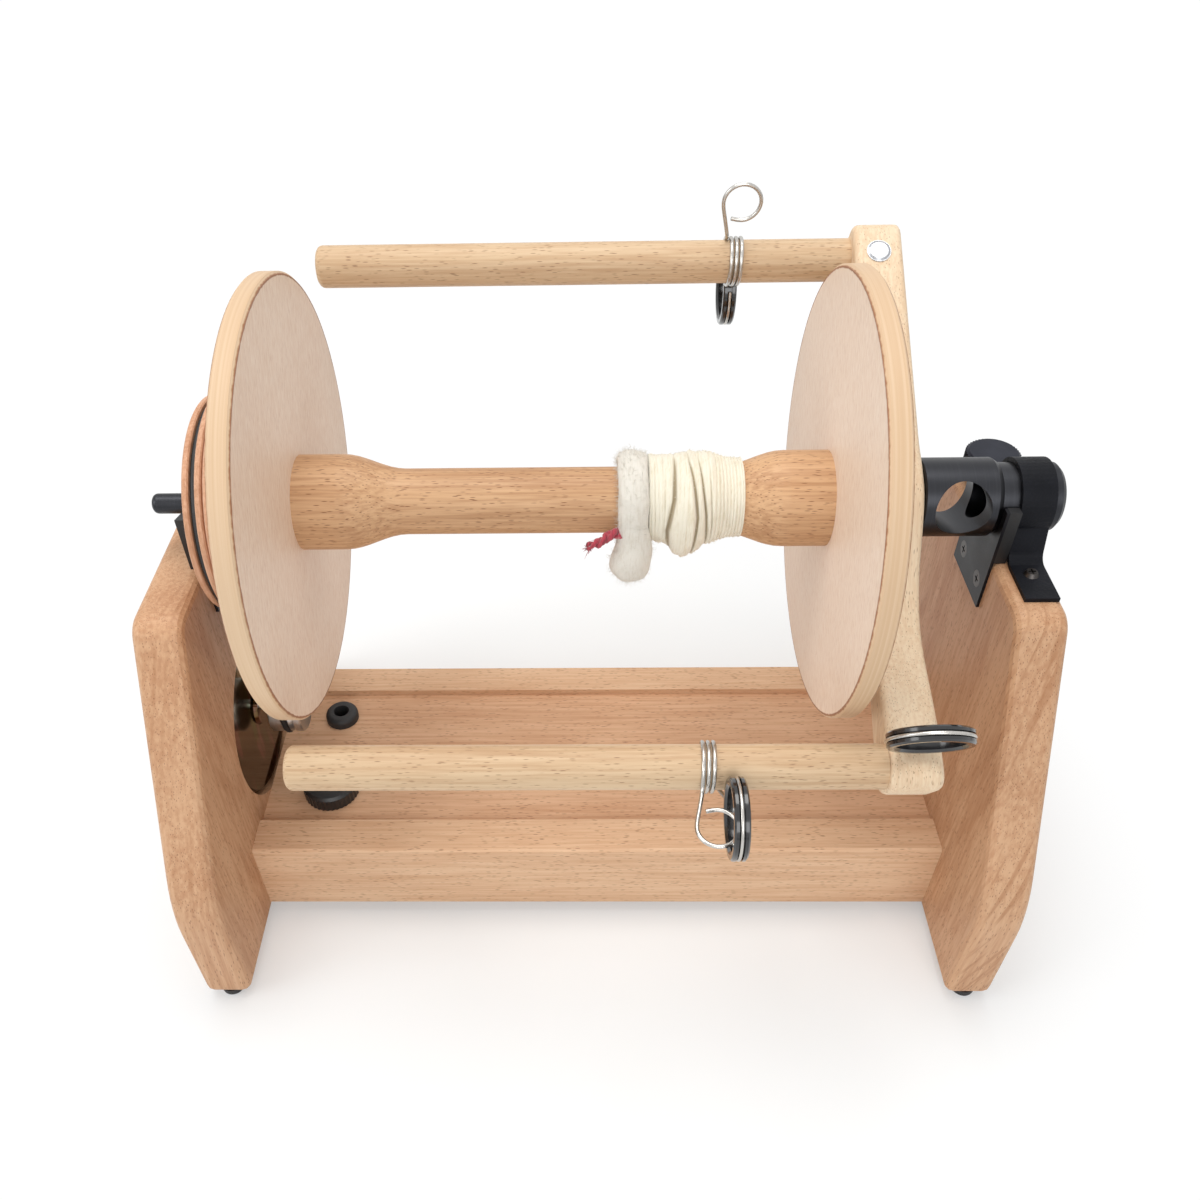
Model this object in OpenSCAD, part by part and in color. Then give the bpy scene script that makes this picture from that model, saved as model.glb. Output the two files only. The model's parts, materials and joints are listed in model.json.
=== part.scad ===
// Electric spinning wheel for hand spinners.
// A motor turns the bobbin by a round belt, and a leather strap brakes the flyer.
// X runs along the axle towards the orifice, Y points to the back, Z is up.
// The origin lies on the surface that the feet stand on, below the middle of the machine.

/* [Frame] */
// Height of the spinning axis above the surface
axle_height = 248; // [240:1:270]
// Clear distance between the two end panels
inner_length = 388.3; // [386:0.5:420]
// Thickness of an end panel
panel_t = 24.6; // [18:0.2:30]
// Half of the width of an end panel at its foot
panel_half_foot = 131; // [110:0.5:150]
// Half of the width of the flat top of an end panel, to where its shoulders meet
panel_half_top = 61.9; // [56:0.1:75]
// Distance from the axis down to the top of the end panels
panel_drop = 24.5; // [24:0.5:34]
// Height of the upright part of an end panel's edge above the panel's foot
knee_height = 79; // [50:1:100]
// Rounding of an end panel's shoulders
shoulder_r = 13; // [8:0.5:20]
// Rounding of an end panel's edges
panel_edge_r = 4.5; // [1:0.1:6]
// Height of a rubber foot
foot_h = 5; // [2:0.1:6]
// Diameter of a rubber foot
foot_d = 13; // [8:0.5:16]
// Distance of a foot's centre from the middle plane
foot_y = 123; // [90:0.5:123]

/* [Base] */
// Distance from the middle plane to the outer face of a rail
rail_half = 74; // [70:0.5:90]
// Height of the rails' underside above the foot of the end panels
rail_lift = 5; // [0:0.5:5]
// Thickness of a rail
rail_t = 14; // [10:0.5:16]
// Height of a rail
rail_h = 51.4; // [48:0.1:60]
// Thickness of the strip glued inside a rail
strip_t = 7.8; // [6:0.1:10]
// Depth of the floor's top below the top of the rails
floor_drop = 4.1; // [2:0.1:8]
// Thickness of the floor board
floor_t = 10; // [8:0.5:12]
// Thickness of the bottom cover
cover_t = 4; // [3:0.5:6]
// Diameter of the dowels in the frame
dowel_d = 8; // [6:0.5:10]
// Length of the dowels in the frame
dowel_l = 28; // [20:1:36]

/* [Bearings] */
// Thickness of a steel bearing plate
plate_t = 1.5; // [1:0.1:2.5]
// Half of the width of a bearing plate
plate_half = 21.3; // [20:0.1:30]
// Depth of a bearing plate's lower edge below the panel's top
plate_hang = 28.1; // [22:0.1:40]
// Height of a bearing plate above the axis
plate_rise = 5.3; // [3:0.1:12]
// Thickness of a bearing block
block_t = 5.65; // [4:0.05:7]
// Distance between the two screws of a bearing plate
plate_screw_gap = 24; // [16:1:30]
// Depth of the plate screws below the panel's top
plate_screw_drop = 16.9; // [12:0.1:20]
// Running clearance of the axle and the neck in their blocks, on the radius
bearing_gap = 0.05; // [0.03:0.01:0.1]

/* [Flyer] */
// Angle of the back arm above the level
flyer_angle = 32.54; // [0:1:60]
// Distance of the arms' centres from the axis
arm_orbit = 131.1; // [125:0.5:140]
// Diameter of a flyer arm
arm_d = 21; // [16:0.5:24]
// Distance from the left flange's inner face to the free ends of the flyer arms
arm_start = 0.5; // [0:0.25:20]
// Diameter of the tenon at an arm's end
tenon_d = 16; // [10:0.5:16]
// Length of the tenon at an arm's end
tenon_l = 9; // [6:0.5:9]
// Thickness of the yoke
yoke_t = 24; // [20:0.5:28]
// Distance from the yoke's left face to the right end panel
yoke_back = 62.9; // [60:0.1:66]
// Diameter of the axle rod
axle_d = 10; // [8:0.5:12]
// How far the axle rod's end stands out from the left panel
axle_reach = -1.5; // [-4:0.05:20]
// Diameter of the orifice tube
tube_d = 38; // [34:0.5:44]
// Diameter of the orifice tube's neck
neck_d = 33; // [28:0.5:34]
// Diameter of the bore of the orifice
orifice_d = 20; // [10:0.5:24]
// How far the neck stands out from the right panel
neck_reach = 3.45; // [2:0.05:12]
// Diameter of the cross hole that the yarn leaves the tube by
cross_hole_d = 26.4; // [18:0.1:27]
// Angle of the cross hole from the back arm, round the axis
cross_hole_turn = 133.9; // [90:1:170]
// Diameter of the steel balance plug
plug_d = 12; // [8:0.5:14]

/* [Yarn guides] */
// Outer diameter of a guide ring
ring_d = 37; // [32:0.5:39]
// Diameter of a guide ring's hole
ring_hole_d = 29; // [24:0.5:29]
// Width of a guide ring
ring_w = 7; // [6:0.1:9]
// Diameter of the spring wire
wire_d = 2; // [1.5:0.1:2]
// Distance between the turns of a clip's coil
coil_pitch = 2.5; // [2.5:0.1:3.5]
// Turns of a clip's coil round the arm
coil_turns = 3; // [3:1:4]
// Place of the middle of the front clip's coil along the machine
front_clip_x = 51; // [-40:0.5:70]
// Place of the middle of the back clip's coil along the machine
back_clip_x = 72.3; // [-40:0.1:90]
// Distance of the front guide ring from the middle of its coil
front_ring_step = 10.1; // [9:0.1:14]
// Distance of the back guide ring from the middle of its coil
back_ring_step = 1; // [0:0.1:2]
// Radius of the loop of a clip's handle
handle_r = 9.6; // [8:0.1:11]
// Length of the straight leg of a clip's handle
handle_leg = 19; // [16:0.5:26]

/* [Bobbin] */
// Diameter of a bobbin flange
flange_d = 214; // [180:1:230]
// Thickness of a bobbin flange
flange_t = 10; // [8:0.1:12]
// Gap between the bobbin's right flange and the yoke
bobbin_gap = 8.8; // [8:0.2:12]
// Distance from the left end panel to the bobbin's left flange's inner face
bobbin_start = 50.9; // [50:0.1:54]
// Diameter of the bobbin core at its ends
core_end_d = 46.4; // [40:0.5:60]
// Diameter of the bobbin core at its waist
core_waist_d = 32; // [26:0.5:38]
// Length of the core's full ends
core_end_l = 21; // [15:0.5:30]
// Length of the core's flares
core_flare_l = 30.6; // [20:0.5:40]
// Diameters of the four steps of the whorl
whorl_d = [104, 111, 121, 132];

/* [Drive] */
// Diameter of the round belt
belt_d = 3.2; // [2.5:0.1:4]
// Distance of the belt's plane from the left panel's inner face
belt_offset = 15.45; // [14:0.05:17]
// Depth of the motor's axis below the spinning axis
motor_drop = 144; // [138:1:150]
// Diameter of the motor
motor_d = 104; // [80:1:106]
// Depth of the motor
motor_depth = 16.4; // [12:0.2:18]
// Depth of the motor's face behind the panel's face
motor_recess = 2.5; // [1:0.1:3]
// Diameter of the motor pulley
pulley_d = 31.4; // [24:0.2:40]
// Length of the motor pulley
pulley_l = 18.5; // [12:0.5:19]
// Diameter of the motor shaft
shaft_d = 6; // [4:0.5:8]

/* [Brake] */
// Width of the leather strap
strap_w = 16.2; // [10:0.2:16.4]
// Thickness of the leather strap
strap_t = 2.2; // [1.5:0.1:3]
// Distance of the strap's front end from the middle plane
strap_front = 50; // [46:0.5:55]
// Distance of the strap's screw from the middle plane
strap_screw_y = 32.3; // [32:0.1:40]
// Distance of the brake knob's axis from the middle plane
knob_y = 46; // [44:0.5:50]
// Diameter of the brake knob
knob_d = 28; // [22:0.5:28]
// Height of the brake knob's head
knob_h = 9; // [6:0.5:12]
// Height of the hub under the knob's head
knob_hub_h = 7.8; // [3:0.1:9]

/* [Controls] */
// Place of the speed knob along the machine, from the left panel's inner face
speed_x = 37.3; // [30:0.1:60]
// Distance of the speed knob in front of the middle plane
speed_y = 26.6; // [20:0.1:32]
// Diameter of the speed knob
speed_d = 33; // [24:0.5:38]
// Height of the speed knob above the floor board
speed_h = 9.7; // [8:0.1:14]
// Place of the cable grommet along the machine, from the left panel's inner face
grommet_x = 33.9; // [20:0.1:60]
// Distance of the cable grommet behind the middle plane
grommet_y = 32; // [22:0.1:38]
// Outer diameter of the cable grommet
grommet_d = 20.3; // [16:0.1:24]
// Diameter of the hole in the cable grommet
grommet_hole_d = 9.5; // [6:0.1:11]
// Diameter of the power inlet's barrel
inlet_d = 8; // [7:0.5:10]
// Distance of the power inlet from the left end panel
inlet_place = 64.15; // [50:0.5:90]

/* [Yarn] */
// Distance from the yarn to the right flange
yarn_end_gap = 41.3; // [41:0.5:110]
// Length of the core that the wound yarn covers
yarn_l = 45.9; // [45:0.1:60]
// Turns of the outer layer of yarn
yarn_turns = 17; // [8:1:17]
// Diameter of a strand of the outer layer
yarn_d = 2; // [1.2:0.1:2]
// How far the loose turns sag below the core
yarn_sag = 4; // [0:0.5:6]
// Width of the unspun roving that lies over the core
roving_w = 13.2; // [8:0.2:16]
// Thickness of the roving
roving_t = 8; // [5:0.2:9]
// Length of the red end of yarn
red_l = 18; // [8:1:24]
// Thickness of the red end of yarn
red_d = 4.5; // [2:0.1:5]

/* [Hidden] */

$fn = 96;
beech = [0.84, 0.66, 0.46];
beech_light = [0.92, 0.79, 0.58];
pink_beech = [0.86, 0.76, 0.70];
black_steel = [0.16, 0.16, 0.17];
dark_steel = [0.26, 0.26, 0.28];
bright_steel = [0.80, 0.80, 0.78];
black_plastic = [0.08, 0.08, 0.09];
gold_metal = [0.55, 0.50, 0.22];
wool = [0.86, 0.78, 0.66];
// Play between a glued or pressed piece and its socket, on the radius
fit_gap = 0.05;
// Play between pieces that turn past each other
free_gap = 0.3;

inner_x = inner_length / 2;
outer_x = inner_x + panel_t;
panel_top = -panel_drop;
panel_foot = foot_h - axle_height;
knee_z = panel_foot + knee_height;
rail_bottom = panel_foot + rail_lift;
rail_top = rail_bottom + rail_h;
strip_y = rail_half - rail_t - strip_t;
floor_top = rail_top - floor_drop;
floor_bottom = floor_top - floor_t;
cover_top = rail_bottom + cover_t;
arm_r = arm_d / 2;
axle_r = axle_d / 2;
neck_r = neck_d / 2;
wire_r = wire_d / 2;
strap_x = inner_x + block_t + 0.35;
strap_mid_x = strap_x + strap_w / 2;
strap_z = panel_top + strap_t / 2;
yoke_x = inner_x - yoke_back;
tube_x = yoke_x + yoke_t + 0.15;
shoulder_x = inner_x - plate_t - 0.5;
neck_end = outer_x + neck_reach;
axle_end = -outer_x - axle_reach;
belt_x = -inner_x + belt_offset;
belt_r = belt_d / 2;
whorl_belt_r = whorl_d[0] / 2 - belt_r - 0.6;
pulley_belt_r = pulley_d / 2 - 0.5;
whorl_disc = 3;
whorl_groove = belt_d + 0.8;
groove_slope = 0.15;
motor_face = -inner_x - motor_recess;
bobbin_x = -inner_x + bobbin_start;
bobbin_end = yoke_x - bobbin_gap - flange_t;
bobbin_l = bobbin_end - bobbin_x;
yarn_start = bobbin_l - yarn_end_gap - yarn_l;
arm_l = yoke_x - bobbin_x - arm_start;
inlet_x = -inner_x + inlet_place;

// Outer ends of the flyer's guides in Y, which set the middle of the whole machine
front_ring_out = arm_d / 2 + ring_d / 2 + 0.5;
back_ring_out = arm_d / 2 + wire_d + ring_d / 2 + 0.6;
front_ring_turn = 180;
back_ring_turn = -50;
front_reach = arm_orbit * cos(flyer_angle) + front_ring_out + ring_d / 2;
back_reach = arm_orbit * cos(flyer_angle) + back_ring_out * cos(back_ring_turn) + ring_d / 2;
middle_y = (front_reach - back_reach) / 2;
// Ends of the machine in X: the axle rod on the left and the brake knob on the right
middle_x = (-axle_end - strap_mid_x - knob_d / 2) / 2;

// Vector helpers
function unit(v) = v / norm(v);
function flipped(list) = [for (i = [len(list) - 1:-1:0]) list[i]];
function polar(r, a) = [r * cos(a), r * sin(a)];
function along_x(x, r, a) = [x, r * cos(a), r * sin(a)];

// Corner b of a path from a to c, rounded by an arc of radius r
function arc_corner(a, b, c, r, steps) =
    let (u = unit(a - b), v = unit(c - b), half = acos(u * v) / 2)
    let (mid = b + unit(u + v) * r / sin(half), turn = 180 - 2 * half)
    let (s = b + u * r / tan(half) - mid, e = b + v * r / tan(half) - mid)
    [for (k = [0:steps]) mid + (sin((1 - k / steps) * turn) * s + sin(k / steps * turn) * e) / sin(turn)];

// Closed outline whose corners are given as [x, y, radius]
function rounded(corners, steps = 6) =
    let (n = len(corners), p = [for (c = corners) [c[0], c[1]]])
    [for (i = [0:n - 1]) each corners[i][2] == 0 ? [p[i]] :
        arc_corner(p[(i + n - 1) % n], p[i], p[(i + 1) % n], corners[i][2], steps)];

// Open path whose inner corners are given as [x, y, radius]
function bent(corners, steps = 6) =
    let (n = len(corners), p = [for (c = corners) [c[0], c[1]]])
    [for (i = [0:n - 1]) each i == 0 || i == n - 1 || corners[i][2] == 0 ? [p[i]] :
        arc_corner(p[i - 1], p[i], p[i + 1], corners[i][2], steps)];

// Smooth curve through the points of a list
function blend_at(a, b, c, d, t) =
    0.5 * (2 * b + (c - a) * t + (2 * a - 5 * b + 4 * c - d) * t * t + (3 * b - a - 3 * c + d) * t * t * t);
function smooth(p, steps = 4) = concat([for (i = [0:len(p) - 2], k = [0:steps - 1])
    blend_at(p[max(i - 1, 0)], p[i], p[i + 1], p[min(i + 2, len(p) - 1)], k / steps)], [p[len(p) - 1]]);

// Outline moved inwards by e, for an outline that runs anticlockwise
function inwards(a, b) = let (d = unit(b - a)) [-d[1], d[0]];
function inset(p, e) = let (n = len(p)) [for (i = [0:n - 1])
    let (n1 = inwards(p[(i + n - 1) % n], p[i]), n2 = inwards(p[i], p[(i + 1) % n]), m = unit(n1 + n2))
    p[i] + m * e / (m * n1)];

// Flat strip of thickness t along a path in its plane
function side_step(p, i) = let (d = unit(p[min(i + 1, len(p) - 1)] - p[max(i - 1, 0)])) [-d[1], d[0]];
function ribbon(p, t) = concat([for (i = [0:len(p) - 1]) p[i] - side_step(p, i) * t / 2],
    flipped([for (i = [0:len(p) - 1]) p[i] + side_step(p, i) * t / 2]));

// Plate of thickness t along Z with its edges rounded by radius e
module rounded_plate(outline, t, e, steps = 3) {
    n = len(outline);
    bends = [for (k = [0:steps]) 90 * k / steps];
    low = [for (a = bends) [e * (1 - cos(a)), e * (1 - sin(a))]];
    levels = concat(low, [for (l = flipped(low)) [t - l[0], l[1]]]);
    rings = [for (l = levels) [for (p = inset(outline, l[1])) [p[0], p[1], l[0]]]];
    m = len(levels);
    sides = [for (j = [0:m - 2], i = [0:n - 1], half = [0, 1]) half == 0
        ? [j * n + i, (j + 1) * n + i, j * n + (i + 1) % n]
        : [j * n + (i + 1) % n, (j + 1) * n + i, (j + 1) * n + (i + 1) % n]];
    caps = [[for (i = [0:n - 1]) i], flipped([for (i = [0:n - 1]) (m - 1) * n + i])];
    polyhedron(points = [for (r = rings) each r], faces = concat(sides, caps), convexity = 4);
}

// Tube along a path in space, with its section carried without twist
function tangents(p) = [for (i = [0:len(p) - 1]) unit(p[min(i + 1, len(p) - 1)] - p[max(i - 1, 0)])];
function square_to(n, t) = unit(n - (n * t) * t);
function carried(t, first) = [for (i = 0, n = square_to(first, t[0]); i < len(t);
    i = i + 1, n = i < len(t) ? square_to(n, t[i]) : n) n];
module tube(path, d, sides, first) {
    t = tangents(path);
    n = carried(t, first);
    m = len(path);
    points = [for (i = [0:m - 1], k = [0:sides - 1]) let (a = 360 * k / sides)
        path[i] + d / 2 * (cos(a) * n[i] + sin(a) * cross(t[i], n[i]))];
    walls = [for (i = [0:m - 2], k = [0:sides - 1], half = [0, 1]) half == 0
        ? [i * sides + k, (i + 1) * sides + k, i * sides + (k + 1) % sides]
        : [i * sides + (k + 1) % sides, (i + 1) * sides + k, (i + 1) * sides + (k + 1) % sides]];
    ends = [for (k = [1:sides - 2], far = [0, 1]) far == 0
        ? [0, k, k + 1] : [(m - 1) * sides, (m - 1) * sides + k + 1, (m - 1) * sides + k]];
    polyhedron(points = points, faces = concat(walls, ends), convexity = 10);
}
// Least distance between points of a path that lie more than apart points along it
function least_gap(p, apart, d) =
    min([for (i = [0:len(p) - 1], j = [i + apart:1:len(p) - 1]) norm(p[i] - p[j])]) - d;

// The frame that the pieces are drawn in has its origin on the spinning axis
module place() {
    translate([middle_x, middle_y, axle_height])
        children();
}
// Round profile of [x, radius] points turned about the X axis
module turned(profile) {
    rotate([90, 0, 90])
        rotate_extrude()
            polygon([for (p = profile) [p[1], p[0]]]);
}
module rod_x(x0, x1, r) {
    translate([x0, 0, 0])
        rotate([0, 90, 0])
            cylinder(h = x1 - x0, r = r);
}
// Outline in the YZ plane, drawn from x to x + t
module slab_x(x, t) {
    translate([x, 0, 0])
        rotate([90, 0, 90])
            linear_extrude(t)
                children();
}
module at_yz(y, z) {
    translate([0, y, z])
        children();
}
// Countersunk or round-headed screw along Z, its head's top at the origin
module screw(head_d, head_h, d, l, countersunk) {
    difference() {
        union() {
            translate([0, 0, -head_h])
                cylinder(h = head_h, d1 = countersunk ? d : head_d, d2 = countersunk ? head_d : head_d * 0.7);
            translate([0, 0, -head_h - l])
                cylinder(h = l + 0.01, d = d);
        }
        for (a = [0, 90])
            rotate([0, 0, a])
                translate([-head_d * 0.25, -head_d * 0.05, -head_h * 0.5])
                    cube([head_d * 0.5, head_d * 0.1, head_h]);
    }
}

// End panels
function panel_corners() = [
    [-panel_half_foot, panel_foot, 6], [panel_half_foot, panel_foot, 6], [panel_half_foot, knee_z, 90],
    [panel_half_top, panel_top, shoulder_r], [-panel_half_top, panel_top, shoulder_r],
    [-panel_half_foot, knee_z, 90]];
dowel_y = rail_half - rail_t / 2;
dowel_drops = [13, rail_h - 13];
module dowel_row(side, d, l) {
    for (sy = [-1, 1], drop = dowel_drops)
        at_yz(sy * dowel_y, rail_top - drop)
            rod_x(side * inner_x - l / 2, side * inner_x + l / 2, d / 2);
}
plate_screw_z = panel_top - plate_screw_drop;
plate_screw_l = 16;
module plate_screw_holes(side, d, l) {
    for (sy = [-1, 1])
        at_yz(sy * plate_screw_gap / 2, plate_screw_z)
            rotate([0, side * 90, 0])
                translate([0, 0, inner_x])
                    cylinder(h = l, d = d);
}
foot_pin_d = 4;
foot_pin_l = 8;
module end_panel(side) {
    difference() {
        translate([side > 0 ? inner_x : -outer_x, 0, 0])
            rotate([90, 0, 90])
                rounded_plate(rounded(panel_corners()), panel_t, panel_edge_r);
        dowel_row(side, dowel_d + 2 * fit_gap, dowel_l + 1);
        plate_screw_holes(side, 3.6 + 2 * fit_gap, plate_screw_l);
        for (sy = [-1, 1])
            translate([side * (inner_x + panel_t / 2), sy * foot_y, panel_foot - 1])
                cylinder(h = foot_pin_l + 1.5, d = foot_pin_d + 2 * fit_gap);
        children();
    }
}
motor_screw_orbit = 36;
motor_web = panel_t - motor_recess - motor_depth;
module motor_screw_places() {
    for (a = [90, 210, 330])
        at_yz(motor_screw_orbit * cos(a), motor_screw_orbit * sin(a) - motor_drop)
            children();
}
module left_end_panel() {
    color(beech_light) end_panel(-1) {
        at_yz(0, -motor_drop)
            rod_x(motor_face - motor_depth - 0.3, 0, motor_d / 2 + 1);
        motor_screw_places()
            rod_x(-outer_x - 1, motor_face, 2.2);
    }
}
stud_d = 5;
stud_in = 16;
strap_screw_d = 3.5;
strap_screw_in = 14;
module right_end_panel() {
    color(beech_light) end_panel(1) {
        translate([strap_mid_x, knob_y, panel_top - stud_in - 0.5])
            cylinder(h = stud_in + 2, d = stud_d + 2 * fit_gap);
        translate([strap_mid_x, -strap_screw_y, panel_top - strap_screw_in - 0.5])
            cylinder(h = strap_screw_in + 2, d = strap_screw_d + 2 * fit_gap);
    }
}
module rubber_feet() {
    color(black_plastic) for (sx = [-1, 1], sy = [-1, 1])
        translate([sx * (inner_x + panel_t / 2), sy * foot_y, panel_foot]) {
            translate([0, 0, -foot_h])
                rotate_extrude()
                    polygon(concat([[0, 0]], [for (k = [0:4]) let (a = -90 + 22.5 * k)
                        [foot_d / 2 - 1.6 + 1.6 * cos(a), 1.6 + 1.6 * sin(a)]],
                        [[foot_d / 2, foot_h], [0, foot_h]]));
            cylinder(h = foot_pin_l, d = foot_pin_d);
        }
}
module frame_dowels() {
    color(beech) for (side = [-1, 1])
        dowel_row(side, dowel_d, dowel_l);
}

// Base between the panels
cover_screw_x = [for (k = [-1:1]) k * (inner_x - 44.15)];
rail_chamfer = 2.2;
module rail(side) {
    difference() {
        translate([-inner_x, side > 0 ? rail_half - rail_t : -rail_half, rail_bottom])
            cube([inner_length, rail_t, rail_h]);
        for (end = [-1, 1])
            dowel_row(end, dowel_d + 2 * fit_gap, dowel_l + 1);
        translate([0, side * rail_half, rail_top])
            rotate([45, 0, 0])
                cube([inner_length + 2, rail_chamfer, rail_chamfer], center = true);
        children();
    }
}
module rail_strip(side) {
    difference() {
        translate([-inner_x, side > 0 ? strip_y : -strip_y - strip_t, cover_top])
            cube([inner_length, strip_t, rail_top - cover_top]);
        cover_screw_places()
            translate([0, 0, -1])
                cylinder(h = 16, d = 2.5 + 2 * fit_gap);
        children();
    }
}
module cover_screw_places() {
    for (x = cover_screw_x, sy = [-1, 1])
        translate([x, sy * (strip_y + strip_t / 2), rail_bottom])
            children();
}
module front_rail() {
    color(beech) rail(-1);
}
module back_rail() {
    color(beech) rail(1)
        inlet_hole();
}
module front_rail_strip() {
    color(beech) rail_strip(-1);
}
module back_rail_strip() {
    color(beech) rail_strip(1)
        inlet_hole();
}
inlet_z = (cover_top + floor_bottom) / 2;
inlet_in = rail_t + strip_t + 5;
module inlet_hole() {
    translate([inlet_x, strip_y - 1, inlet_z])
        rotate([-90, 0, 0])
            cylinder(h = rail_half - strip_y + 2, d = inlet_d + 2 * fit_gap);
}
module power_inlet() {
    color(black_plastic) translate([inlet_x, rail_half, inlet_z])
        rotate([90, 0, 0]) {
            difference() {
                union() {
                    translate([0, 0, -2])
                        cylinder(h = 2, d = inlet_d + 3);
                    translate([0, 0, -0.01])
                        cylinder(h = inlet_in, d = inlet_d);
                    translate([0, 0, rail_t + strip_t])
                        cylinder(h = 2.2, d = inlet_d + 4, $fn = 6);
                }
                translate([0, 0, -3])
                    cylinder(h = 13, d = 5.5);
            }
            translate([0, 0, -1])
                cylinder(h = 12, d = 2.1);
        }
}
speed_px = -inner_x + speed_x;
grommet_px = -inner_x + grommet_x;
grommet_neck_d = grommet_d - 6.3;
bush_d = 7.2;
module floor_board() {
    color(beech) difference() {
        translate([-inner_x, -strip_y, floor_bottom])
            cube([inner_length, 2 * strip_y, floor_t]);
        translate([speed_px, -speed_y, floor_bottom - 1])
            cylinder(h = floor_t + 2, d = bush_d + 2 * fit_gap);
        translate([grommet_px, grommet_y, floor_bottom - 1])
            cylinder(h = floor_t + 2, d = grommet_neck_d + 2 * fit_gap);
    }
}
module bottom_cover() {
    color(beech) difference() {
        translate([-inner_x, -strip_y - strip_t, rail_bottom])
            cube([inner_length, 2 * (strip_y + strip_t), cover_t]);
        cover_screw_places() {
            translate([0, 0, -1])
                cylinder(h = cover_t + 2, d = 2.9);
            translate([0, 0, -0.01])
                cylinder(h = 1.7, d1 = 5.9, d2 = 2.5);
        }
    }
}
module cover_screws() {
    color(bright_steel) cover_screw_places()
        rotate([180, 0, 0])
            screw(5.4, 1.6, 2.5, 12, true);
}

// Steel plate and nylon block of a bearing, with a notch open at the top
module notch_outline(r, bottom, slope) {
    difference() {
        polygon([[-plate_half, bottom], [plate_half, bottom], [plate_half, plate_rise],
            [max(r, plate_half - slope), plate_rise - slope * 0.28],
            [-max(r, plate_half - slope), plate_rise - slope * 0.28], [-plate_half, plate_rise]]);
        translate([-r, 0])
            square([2 * r, plate_rise + 10]);
    }
}
module bearing_piece(x, t, r, bottom, slope) {
    difference() {
        slab_x(x, t)
            notch_outline(r, bottom, slope);
        rod_x(x - 1, x + t + 1, r);
    }
}
plate_bottom = panel_top - plate_hang;
module bearing_plate(side, r) {
    color(black_steel) difference() {
        bearing_piece(side > 0 ? inner_x - plate_t : -inner_x, plate_t, r, plate_bottom, 0.01);
        for (sy = [-1, 1])
            at_yz(sy * plate_screw_gap / 2, plate_screw_z)
                rotate([0, side * 90, 0])
                    translate([0, 0, inner_x - plate_t - 0.01])
                        cylinder(h = plate_t + 0.02, d1 = 9.2, d2 = 3.9);
    }
}
module plate_screws(side) {
    color(bright_steel) for (sy = [-1, 1])
        at_yz(sy * plate_screw_gap / 2, plate_screw_z)
            rotate([0, -side * 90, 0])
                translate([0, 0, -(inner_x - plate_t)])
                    screw(8.9, plate_t, 3.6, plate_screw_l - 2, true);
}
module left_bearing_plate() { bearing_plate(-1, axle_r + 0.6); }
module right_bearing_plate() { bearing_plate(1, neck_r + 0.6); }
module left_plate_screws() { plate_screws(-1); }
module right_plate_screws() { plate_screws(1); }
module left_bearing_block() {
    color(black_plastic)
        bearing_piece(-inner_x - block_t, block_t, axle_r + bearing_gap, panel_top, 10.5);
}
module right_bearing_block() {
    color(black_plastic)
        bearing_piece(inner_x, block_t, neck_r + bearing_gap, panel_top, 0.01);
}

// Brake strap over the neck, its screw, and the knob that tightens it
strap_over_r = neck_r + free_gap + strap_t / 2;
strap_back = knob_y + knob_d / 2;
function strap_path() = let (fall = 200, foot = strap_over_r + 10)
    concat(bent([[-strap_front, strap_z], [-foot + 6.6, strap_z, 7], along_strap(fall)]),
        [for (a = [fall - 8:-8:-20 + 8]) polar(strap_over_r, a)],
        bent([along_strap(-20), [foot - 6.6, strap_z, 7], [strap_back, strap_z]]));
function along_strap(a) = polar(strap_over_r, a);
module brake_strap() {
    color(black_plastic) difference() {
        slab_x(strap_x, strap_w)
            polygon(ribbon(strap_path(), strap_t));
        translate([strap_mid_x, -strap_screw_y, panel_top - 1])
            cylinder(h = strap_t + 2, d = strap_screw_d + 0.8);
        translate([strap_mid_x, knob_y, panel_top - 1])
            cylinder(h = strap_t + 2, d = stud_d + 0.8);
    }
}
module strap_screw() {
    color(bright_steel) translate([strap_mid_x, -strap_screw_y, panel_top + strap_t + 1.9])
        screw(7.2, 1.9, strap_screw_d, strap_t + strap_screw_in, false);
}
washer_z = panel_top + strap_t + fit_gap;
washer_t = 1.2;
knob_z = washer_z + washer_t + fit_gap;
module brake_stud() {
    color(dark_steel) translate([strap_mid_x, knob_y, panel_top - stud_in])
        cylinder(h = knob_z + knob_hub_h + knob_h - 2.5 - panel_top + stud_in, d = stud_d);
}
module brake_washer() {
    color(dark_steel) translate([strap_mid_x, knob_y, washer_z])
        difference() {
            cylinder(h = washer_t, d = 15);
            translate([0, 0, -1])
                cylinder(h = washer_t + 2, d = stud_d + 0.16);
        }
}
knurl_teeth = 44;
module knurled(d, h, teeth, depth) {
    linear_extrude(h)
        polygon([for (k = [0:2 * teeth - 1]) polar(d / 2 - (k % 2) * depth, 180 * k / teeth)]);
}
module brake_knob() {
    color(dark_steel) translate([strap_mid_x, knob_y, knob_z])
        difference() {
            union() {
                cylinder(h = knob_hub_h + 0.01, d = 14.5);
                translate([0, 0, knob_hub_h])
                    knurled(knob_d, knob_h - 1, knurl_teeth, 0.7);
                translate([0, 0, knob_hub_h + knob_h - 1.01])
                    cylinder(h = 1.01, d1 = knob_d - 1.4, d2 = knob_d - 3.4);
            }
            translate([0, 0, -1])
                cylinder(h = knob_hub_h + knob_h - 0.5, d = stud_d + 0.16);
        }
}

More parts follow.
